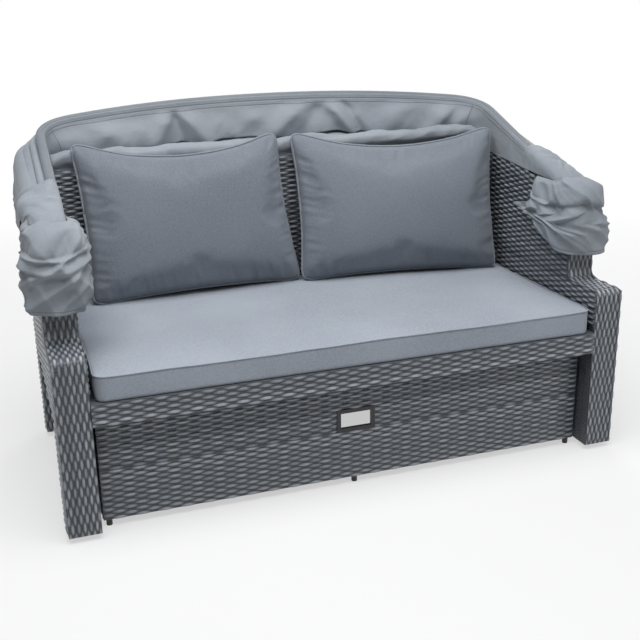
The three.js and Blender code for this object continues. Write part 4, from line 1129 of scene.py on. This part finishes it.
# Between the upper and the lower bow: a sleeve, and cloth folded close down to the next bow
upperCloth = {
    "spacing": 0.0075,
    "sleeveRows": 15,
    "sleeveTurn": (200, 0),
    "end": (0.0135, 0.0005),
    "rows": (0.55, 6, 13),
    "bend": (0.001, 0.014),
    "bulge": 0.008,
    "wave": 0.002,
    "waveCell": (0.09, 0.08),
    "depth": 0.1,
}


def makeUpperCloth():
    look = upperCloth
    t, along = bowStations("upper", look["spacing"])
    upper = besideBow("upper", t, *sleeveArc(*look["sleeveTurn"], look["sleeveRows"], len(t)))
    share = shares(*look["rows"])
    strip = between(upper[-1], besideBow("lower", t, *look["end"]), share[..., None])
    outward = besideBow("upper", t, 1.0, 0.0) - besideBow("upper", t, 0.0, 0.0)
    where = np.broadcast_arrays(along, share * look["depth"])
    bulge = look["bulge"] + look["wave"] * ripple(*where, look["waveCell"], 2.2)
    strip = strip + outward * (np.sin(share * math.pi) * bulge)[..., None]
    # Painted shade along the seam where the sleeve meets the cloth
    points, shadeMarks = np.concatenate([upper, strip]), [(look["sleeveRows"] - 1, 1)]
    piece = clothSheet("upperCloth", points, shadeMarks, ["canopy_upper_cloth"])
    bendBetween(piece, "lower_bow_set", "upper_bow_set", "lower", *look["bend"])


# Outer cloth: from the lower bow, outside the fixed bow, down behind the back and outside the sides
outerCloth = {
    "spacing": 0.0065,
    "drop": 0.165,
    "sideShare": 0.8,
    "overSide": 0.0425,
    "overBack": 0.0286,
    "sideFall": 0.036,
    "backFall": 0.008,
    "cornerBulge": 0.004,
    "hemWave": 0.018,
    "hemCell": (0.13, 6.6),
    "sleeve": 0.0121,
    "sleeveTurn": (150, 60, 8),
    "offShoulder": 0.003,
    "shoulderRows": 8,
    "fallRows": 25,
    "bend": (-0.014, -0.1),
    "pleats": 21,
    "pleat": 0.006,
    "soft": 0.012,
    "softFold": (0.4, 1, (0.11, 0.2), 4.3),
    "wrinkle": 0.004,
    "wrinkleFold": (-0.7, 1, (0.04, 0.07), 8.1),
}


def makeOuterCloth():
    look = outerCloth
    t, along = bowStations("lower", look["spacing"])
    back = aroundShare(t)
    bulge = 4 * back * (1 - back) * look["cornerBulge"]
    reachOut = between(look["overSide"], look["overBack"], back) + bulge
    drop = look["drop"] * between(look["sideShare"], 1, back)
    drop = drop * (0.35 + 0.65 * smoothStep(bowLine(bowHalf["lower"], t)[1], bows["clothStart"], 0.36))
    drop = drop + look["hemWave"] * waves(along, *look["hemCell"])
    sleeveOut, sleeveLift = sleeveArc(*look["sleeveTurn"], len(t), look["sleeve"])
    shoulder = np.linspace(0, 1, look["shoulderRows"] + 1)[1:, None]
    shoulderOut = between(sleeveOut[-1], reachOut, np.sin(shoulder * math.pi / 2))
    fall = between(look["sideFall"], look["backFall"], back)
    shoulderLift = sleeveLift[-1] * (1 - shoulder**2) - fall * shoulder**2
    share = np.linspace(0, 1, look["fallRows"] + 1)[1:, None]
    where = (np.broadcast_to(along, (len(share), len(t))), share * drop)
    pleat = look["pleat"] * np.maximum(np.sin(look["pleats"] * math.pi * t), -0.3) * share * 1.4
    soft = np.maximum(slanting(crease, *where, *look["softFold"]), -0.2)
    fine = np.maximum(slanting(crease, *where, *look["wrinkleFold"]), -0.5)
    loose = look["soft"] * soft * (0.5 + 0.5 * back) + look["wrinkle"] * fine
    out = reachOut + look["offShoulder"] + pleat * (0.5 + 0.5 * back) + smoothStep(share, 0.02, 0.5) * loose
    out = np.concatenate([sleeveOut, shoulderOut, out])
    lift = np.concatenate([sleeveLift, shoulderLift, shoulderLift[-1] - share * drop])
    points = besideBow("lower", t, out, lift)
    # Painted shade along a seam line near the hem
    piece = clothSheet(
        "outerCloth", points, [(-3, 0.8)], ["canopy_lower_cloth"],
    )
    bendBetween(piece, "lower_bow_set", "root", "lower", *look["bend"])


# Rear panel: from the fixed bow over the woven back, rolled forward and hanging down its front
rearPanel = {
    "half": 0.728,
    "roll": 0.912,
    "rollWave": 0.014,
    "rollCell": (0.17, 2.9),
    "sleeveTurn": (20, 215, 11),
    "endDrop": 0.012,
    "endWidth": 0.05,
    "hem": 0.846,
    "spacing": 0.006,
    "rows": 46,
    "overTop": 0.024,
    "overShare": 0.55,
    "edgeUp": 0.012,
    "edgeIn": 0.002,
    "middleDrop": 0.008,
    # how far behind the back's front face, and how far below the roll's top
    "frontRoll": ((0.012, 0.0), (-0.012, 0.01), (-0.014, 0.026), (-0.0016, 0.044)),
    "fold": 0.007,
    "foldCell": (0.12, 0.12),
    "wave": 0.005,
    "waveCell": (0.06, 0.09),
}


# A smooth line through rows of points, by a cubic between each two of them
def smoothRows(path, knots):
    low = np.minimum(knots.astype(int), len(path) - 2)
    part = (knots - low)[:, None, None]
    before, after = path[np.maximum(low - 1, 0)], path[np.minimum(low + 2, len(path) - 1)]
    first, last = path[low], path[low + 1]
    bend = (first - before) * (1 - part) - (after - last) * part
    return between(first, last, part) + 0.25 * part * (1 - part) * bend


def makeRearPanel():
    look = rearPanel
    x = np.linspace(-look["half"], look["half"], round(2 * look["half"] / look["spacing"]) + 1)
    reach = bows["crown"] - bows["crownDrop"] * np.abs(x / bowHalf["rear"]) ** bows["power"]
    turnOut, turnLift = sleeveArc(*look["sleeveTurn"], len(x))
    around = onPlane(x, reach + turnOut, turnLift, bowAngle["rear"])
    roll = look["roll"] + look["rollWave"] * waves(x, *look["rollCell"])
    roll = roll - look["endDrop"] * smoothStep(np.abs(x), look["half"] - look["endWidth"], look["half"])
    corners = [
        (backHigh.y + look["overShare"] * (around[-1, :, 1] - backHigh.y), backHigh.z + look["overTop"]),
        (backHigh.y - look["edgeIn"], backHigh.z + look["edgeUp"]),
        ((backLow.y + backHigh.y) / 2, roll - look["middleDrop"]),
    ]
    corners += [(backLow.y + behind, roll - down) for behind, down in look["frontRoll"]]
    corners.append((backLow.y + look["frontRoll"][-1][0], look["hem"]))
    path = [np.stack(np.broadcast_arrays(x, y, z), axis=-1) for y, z in corners]
    path = np.stack([around[-1], *path])
    knots = np.linspace(0, len(path) - 1, look["rows"])
    curve = smoothRows(path, knots)
    along, depth = np.broadcast_arrays(x, knots[:, None] * 0.02)
    fold = look["fold"] * slanting(crease, along, depth, 1.5, 1, look["foldCell"], 7.7)
    fold = fold + look["wave"] * slanting(ripple, along, depth, -1, 1, look["waveCell"], 3.1)
    loose = window(knots, 0.2, 1.5, 6.3, 7.2)[:, None]
    curve[..., 2] += np.maximum(fold, -0.004) * loose * smoothStep(-knots, -5.5, -4.5)[:, None]
    curve[..., 1] -= np.maximum(fold, -0.003) * loose * smoothStep(knots, 3.5, 4.5)[:, None]
    # Painted shade along a seam line near the hem
    piece = clothSheet(
        "rearPanelCloth", np.concatenate([around[:-1], curve]), [(-3, 0.8)], ["canopy_rear_panel"],
    )
    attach(piece, "root")


# Evenly spaced points on a line through the given ones
def resample(line, count):
    length = np.concatenate([[0], np.cumsum(np.linalg.norm(np.diff(line, axis=0), axis=1))])
    at = np.linspace(0, length[-1], count)
    return np.stack([np.interp(at, length, line[:, axis]) for axis in range(line.shape[1])], axis=-1)


# A rounded line through its corners, by cutting the corners four times
def roundSection(corners, count):
    line = np.array(corners, float)
    for _ in range(4):
        near = 0.75 * line[:-1] + 0.25 * line[1:]
        far = 0.25 * line[:-1] + 0.75 * line[1:]
        inner = np.stack([near, far], axis=1).reshape(-1, line.shape[1])
        line = np.concatenate([line[:1], inner[1:-1], line[-1:]])
    return resample(line, count)


# Directions along each row of points
def rowDirections(rows):
    along = np.gradient(rows, axis=1)
    return along / np.linalg.norm(along, axis=-1)[..., None]


# The points as they are for sign 1, or on the daybed's other side for -1, with the outer face still outside
def mirrored(points, sign):
    points[..., 0] *= sign
    return points[:, ::sign]


# Gathered cloth over the folded arms, from each pivot back
gather = {
    "reach": (-0.005, 0.235),
    "flapAngle": 14,
    "inner": 0.018,
    "outer": 0.009,
    "top": 0.018,
    "outerSlope": 0.12,
    "outerDrop": 0.055,
    "round": 0.022,
    "around": 0.26,
    "lump": {"left": 0.004, "right": 0.013},
    "lumpFold": (0.25, (0.085, 0.1)),
    "crossFold": {"left": 0.004, "right": 0.014},
    "crossCell": (0.042, 0.13),
    "longFold": 0.006,
    "longCell": (0.12, 0.05),
    "endWave": 0.03,
    "tuck": 0.009,
    "tuckShare": 0.06,
    "wrap": 85,
    "wrapRows": 8,
    "wrapSize": 0.014,
    "rows": 62,
    "columns": 76,
}


def gatherSection(r, inner, outer):
    look = gather
    top, bend = look["top"], look["round"]
    drop = r * math.tan(math.radians(look["flapAngle"]))
    slope = look["outerSlope"] * max(r, 0)
    hang = look["outerDrop"] * min(max(r - 0.07, 0) / 0.06, 1)
    return roundSection([
        (inner + 0.002, -drop),
        (inner, top - bend),
        (inner + bend * 0.3, top - bend * 0.2),
        (inner + bend, top + 0.002),
        ((inner + outer) / 2, top + 0.004 - slope * 0.4),
        (outer - bend, top - slope * 0.8),
        (outer - bend * 0.3, top - bend * 0.3 - slope),
        (outer, top - bend * 1.2 - slope),
        (outer + 0.003, -drop * 1.45 - hang),
    ], look["columns"])


# How far the cloth stands out: lumps, folds across and along, less of them at the ends and on the inside
def gatherFolds(side, reach, share, seed):
    look = gather
    across = np.linspace(0, 1, look["columns"])
    around = np.broadcast_to(np.linspace(0, look["around"], look["columns"]), reach.shape)
    slant, cell = look["lumpFold"]
    lump = np.maximum(ripple(reach + slant * around, around, cell, seed) + 0.25, 0)
    crossed = window(reach, 0.09, 0.14, 0.19, 0.23)
    cross = crease(reach + slant * around, around, look["crossCell"], seed + 4) * crossed
    lengthwise = crease(reach * 0.6, around - 0.35 * reach, look["longCell"], seed + 7) * (1 - 0.6 * crossed)
    push = look["lump"][side] * lump + look["crossFold"][side] * np.maximum(cross, -0.25)
    push = push + look["longFold"] * np.maximum(lengthwise, -0.3)
    onInside = 1 - smoothStep(across, 0.22, 0.34)
    push = push * smoothStep(reach, 0.0, 0.05) * (1 - smoothStep(share, 0.93, 1.0) * 0.9)
    return push * (1 - 0.85 * onInside) * (1 - 0.5 * smoothStep(across, 0.66, 0.8))


def makeGather(side, sign):
    look = gather
    seed = 3.1 + 2 * sign
    angle = bowAngle["front"]
    inner, outer = bowHalf["front"] - look["inner"], outerX + look["outer"]
    share = np.linspace(0, 1, look["rows"])[:, None]
    start, stop = look["reach"]
    stop = stop + look["endWave"] * waves(np.linspace(0, 0.3, look["columns"]), 0.08, seed)
    reach = between(start, stop, share)
    section = np.array([gatherSection(r, inner, outer) for r in reach.mean(axis=1)])
    along = rowDirections(section)
    normal = np.stack([-along[..., 1], along[..., 0]], axis=-1)
    section = section + normal * gatherFolds(side, reach, share, seed)[..., None]
    tucked = 1 - smoothStep(share, 0.0, 0.14)
    x = section[..., 0] + ((inner + outer) / 2 - section[..., 0]) * look["tuckShare"] * tucked
    lift = section[..., 1] - look["tuck"] * tucked
    points = onPlane(x, np.sqrt(np.maximum(reach**2 - lift**2, 1e-8)), lift, angle)
    turn = np.radians(np.linspace(look["wrap"], 0, look["wrapRows"], endpoint=False))[:, None]
    size = np.maximum(lift[:1], look["wrapSize"])
    wrapped = onPlane(x[:1], -size * np.sin(turn), size * np.cos(turn), angle)
    points = mirrored(np.concatenate([wrapped, points]), sign)
    # Painted shade along a seam line near the gather's rear edge
    piece = clothSheet(
        f"{side}Gather", points, [(-4, 0.7)], [f"{side}_canopy_gather"],
    )
    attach(piece, "front_bow_set")


# Bundled cloth round the front of each high side: over the pivot's front, curled under, and down to its hem
skirt = {
    "front": 0.16,
    "rear": 0.345,
    "outerRear": 0.27,
    "rows": 84,
    "columns": 160,
    "around": 0.6,
    "down": 0.3,
    # from the top edge to the hem: how far forward, inward and outward, then the heights in front and beside
    "profile": (
        (-0.018, 0.0105, 0.008, 0.82, 0.8),
        (0.0, 0.014, 0.011, 0.815, 0.796),
        (0.024, 0.021, 0.015, 0.8, 0.788),
        (0.038, 0.027, 0.018, 0.783, 0.778),
        (0.045, 0.031, 0.02, 0.767, 0.767),
        (0.042, 0.029, 0.018, 0.758, 0.759),
        (0.034, 0.022, 0.013, 0.753, 0.754),
        (0.03, 0.019, 0.011, 0.746, 0.747),
        (0.042, 0.028, 0.017, 0.731, 0.733),
        (0.05, 0.034, 0.022, 0.71, 0.715),
        (0.052, 0.036, 0.024, 0.68, 0.69),
        (0.046, 0.033, 0.021, 0.64, 0.66),
        (0.034, 0.026, 0.015, 0.594, 0.632),
    ),
    "cornerRound": 0.026,
    "rearDraw": 0.05,
    "outerRise": {"left": 0.0, "right": 0.014},
    "fallFrom": 0.47,
    "lip": {
        "left": ((0, 0.005), (0.22, 0.026), (0.4, 0.01), (0.52, 0), (0.65, 0.018), (1, 0.03)),
        "right": ((0, -0.01), (0.2, -0.004), (0.38, 0.004), (0.55, 0.016), (0.75, 0.01), (1, 0.02)),
    },
    "lipWave": 0.012,
    "lipCell": (0.09, 0.12),
    "tuckRows": (0.3, 0.36, 0.5, 0.58),
    "tuckFill": {"left": (0.0, 0.014), "right": (0.012, 0.006)},
    "drape": {"left": 0.0, "right": 0.009},
    # each fold's height, how far it may dip, how it leans and is stretched, then its cell and its seed's step
    "folds": (
        (0.014, 0.2, 0.8, 1, (0.16, 0.2), 0),
        (0.009, 0.3, -1.1, 0.6, (0.08, 0.12), 3),
        (0.0012, math.inf, 0.4, 1.2, (0.045, 0.06), 5),
    ),
    "drapeFold": (0.5, 0.3, (0.06, 0.2)),
    "tip": (0.12, 0.62, 0.13),
}


# A path round the side's front at one level: inside, front and outside
def skirtPath(forward, inward, outward, rear, count):
    corner = skirt["cornerRound"] + 0.5 * max(forward, 0)
    y0, x0, x1 = skirt["front"] - forward, innerX - inward, outerX + outward
    arcs = np.linspace(0, math.pi / 2, 9)[1:-1]
    path = [(x0, rear), (x0, y0 + corner)]
    path += [(x0 + corner * (1 - math.cos(a)), y0 + corner * (1 - math.sin(a))) for a in arcs]
    path += [(x0 + corner, y0), (x1 - corner, y0)]
    path += [(x1 - corner * (1 - math.sin(a)), y0 + corner * (1 - math.cos(a))) for a in arcs]
    path += [(x1, y0 + corner), (x1, skirt["outerRear"])]
    return resample(np.array(path), count)


# How far the cloth stands out: folds where it falls free, and a filled tuck above
def skirtFolds(side, share, level, seed, falling):
    look = skirt
    around, down = share * look["around"], level * look["down"]
    push = 0
    for height, dip, slant, stretch, cell, step in look["folds"]:
        folded = slanting(crease, around, down, slant, stretch, cell, seed + step)
        push = push + height * np.maximum(folded, -dip)
    draped = slanting(crease, around, down, *look["drapeFold"], seed + 12)
    push = push + look["drape"][side] * np.maximum(draped, -0.4)
    cap = 0.75 * smoothStep(level, 0.01, 0.13) * (1 - falling)
    inTuck = window(level, *look["tuckRows"])
    evenly, unevenly = look["tuckFill"][side]
    uneven = np.clip(0.5 + 1.6 * waves(around, 0.11, seed + 9), 0, 1)
    filled = (evenly + unevenly * uneven) * inTuck
    return push * (falling + cap) * smoothStep(np.minimum(share, 1 - share), 0.0, 0.05) + filled


def skirtHeights(side, profile, share, level, seed, falling):
    look = skirt
    wide = 0.26 + 0.2 * smoothStep(level, 0.6, 1)
    inFront = 1 - smoothStep(np.abs(share - 0.52), 0.1, wide)
    z = profile[:, 3:4] * inFront + profile[:, 4:5] * (1 - inFront)
    z = z + look["outerRise"][side] * (1 - smoothStep(level, 0, 0.3)) * smoothStep(share, 0.58, 0.7)
    nearLip = window(level, 0.1, 0.3, 0.5, 0.8)
    z = z - np.interp(share[0], *zip(*look["lip"][side])) * nearLip
    lipWave = ripple(share * look["around"], level * look["down"], look["lipCell"], seed + 6)
    return z + look["lipWave"] * lipWave * (nearLip * 0.8 + 0.4 * falling)


def makeSkirt(side, sign):
    look = skirt
    seed = 2.4 + sign
    profile = roundSection(look["profile"], look["rows"])
    levels = np.linspace(0, 1, look["rows"])
    reachOut, place, spread = look["tip"]
    tip = reachOut * np.maximum(1 - np.abs(levels - place) / spread, 0) * (sign > 0)
    rears = look["rear"] - look["rearDraw"] * levels**2 + tip
    flat = np.array([skirtPath(*row[:3], rear, look["columns"]) for row, rear in zip(profile, rears)])
    share, level = np.broadcast_arrays(np.linspace(0, 1, look["columns"]), levels[:, None])
    falling = smoothStep(level, look["fallFrom"], look["fallFrom"] + 0.12)
    along = rowDirections(flat)
    normal = np.stack([along[..., 1], -along[..., 0]], axis=-1)
    flat = flat + normal * skirtFolds(side, share, level, seed, falling)[..., None]
    z = skirtHeights(side, profile, share, level, seed, falling)
    points = np.concatenate([flat, z[..., None]], axis=-1) + (0, frontY, 0)
    # Painted shade along a seam line near the hem
    piece = clothSheet(
        f"{side}Skirt", mirrored(points, sign), [(-4, 0.8)], [f"{side}_canopy_skirt"],
    )
    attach(piece, "root")


makeSeatCushion()
makeBackCushion("left")
makeBackCushion("right")
print("cushions ready")
makeFrontFold()
makeUpperCloth()
makeOuterCloth()
makeRearPanel()
for side, sign in (("left", 1), ("right", -1)):
    makeGather(side, sign)
    makeSkirt(side, sign)
print("canopy ready")

# Camera, as the photograph was taken (metres and degrees)
camera = {
    "fromFront": (-0.9272, -2.3569, 1.3763),
    "yaw": 18.85,
    "pitch": 18.68,
    "roll": -0.92,
    "lens": 55.52,
}


def addCamera():
    yaw, pitch, roll = (math.radians(camera[key]) for key in ("yaw", "pitch", "roll"))
    ahead = Vector((math.sin(yaw) * math.cos(pitch), math.cos(yaw) * math.cos(pitch), -math.sin(pitch)))
    right = Vector((math.cos(yaw), -math.sin(yaw), 0))
    up = right.cross(ahead)
    rolledRight = math.cos(roll) * right + math.sin(roll) * up
    rolledUp = math.cos(roll) * up - math.sin(roll) * right
    data = bpy.data.cameras.new("camera")
    data.lens = camera["lens"]
    eye = bpy.data.objects.new("camera", data)
    x, y, z = camera["fromFront"]
    axes = Matrix((rolledRight, rolledUp, -ahead)).transposed().to_4x4()
    eye.matrix_world = Matrix.Translation((x, frontY + y, z)) @ axes
    scene.collection.objects.link(eye)
    scene.camera = eye


# Light: a pale room with soft lamps round the daybed (place, size in metres, watts)
lamps = {
    "overhead": ((-0.5, -0.95, 3.55), 3.2, 157),
    "frontLeft": ((-3.9, -1.2, 2.4), 2.0, 7),
    "frontRight": ((3.2, -2.6, 1.8), 2.0, 28),
    "behind": ((1.6, 3.2, 2.0), 2.4, 60),
}
room = {
    "light": rgb(0.93, 0.96, 1.0),
    "strength": 0.17,
    "white": rgb(1, 1, 1),
    "aim": (0, 0, 0.4),
    "floor": rgb(0.72, 0.72, 0.72),
    "floorHalf": 60,
    "glow": (1.2, 3.6, 0.55, 1.0),  # the distances it grows between, and its shares there
}


# The first shader where rays is 0 and the second where it is 1, on a material's or the world's output
def mixShaders(paint, rays, first, second, outputNode):
    mixed = paint.add("ShaderNodeMixShader", {}, {0: rays, 1: first, 2: second})
    paint.feed(paint.tree.nodes[outputNode], {"Surface": mixed})


def addLight():
    for name, (place, size, power) in lamps.items():
        data = bpy.data.lights.new(name, "AREA")
        data.shape = "DISK"
        data.size = size
        data.energy = power
        lamp = bpy.data.objects.new(name, data)
        lamp.location = place
        lamp.rotation_euler = (Vector(room["aim"]) - Vector(place)).to_track_quat("-Z", "Y").to_euler()
        scene.collection.objects.link(lamp)
    scene.world = bpy.data.worlds.new("paleRoom")
    paint = Paint(scene.world)
    lit = paint.tree.nodes["Background"]
    paint.feed(lit, {"Color": room["light"], "Strength": room["strength"]})
    white = paint.add("ShaderNodeBackground", {}, {"Color": room["white"]})
    mixShaders(paint, paint.seen(), Value(paint, lit.outputs[0]), white, "World Output")


def addFloor():
    paint = newPaint("paleFloor", {"Roughness": 0.9, "Base Color": room["floor"], "Specular IOR Level": 0.1})
    glow = paint.add("ShaderNodeEmission", {}, {"Color": room["white"], "Strength": 1.0})
    away = paint.add("ShaderNodeVectorMath", {"operation": "LENGTH"}, {0: paint.place()}, output=1)
    lit = Value(paint, paint.shader.outputs[0])
    mixShaders(paint, paint.seen() * paint.span(away, *room["glow"]), lit, glow, "Material Output")
    half = room["floorHalf"]
    corners = [(-half, -half, 0), (half, -half, 0), (half, half, 0), (-half, half, 0)]
    mesh = bpy.data.meshes.new("floor")
    mesh.from_pydata(corners, [], [(0, 1, 2, 3)])
    mesh.materials.append(paint.owner)
    floor = bpy.data.objects.new("floor", mesh)
    scene.collection.objects.link(floor)


addCamera()
addLight()
addFloor()
scene.view_settings.view_transform = "Standard"
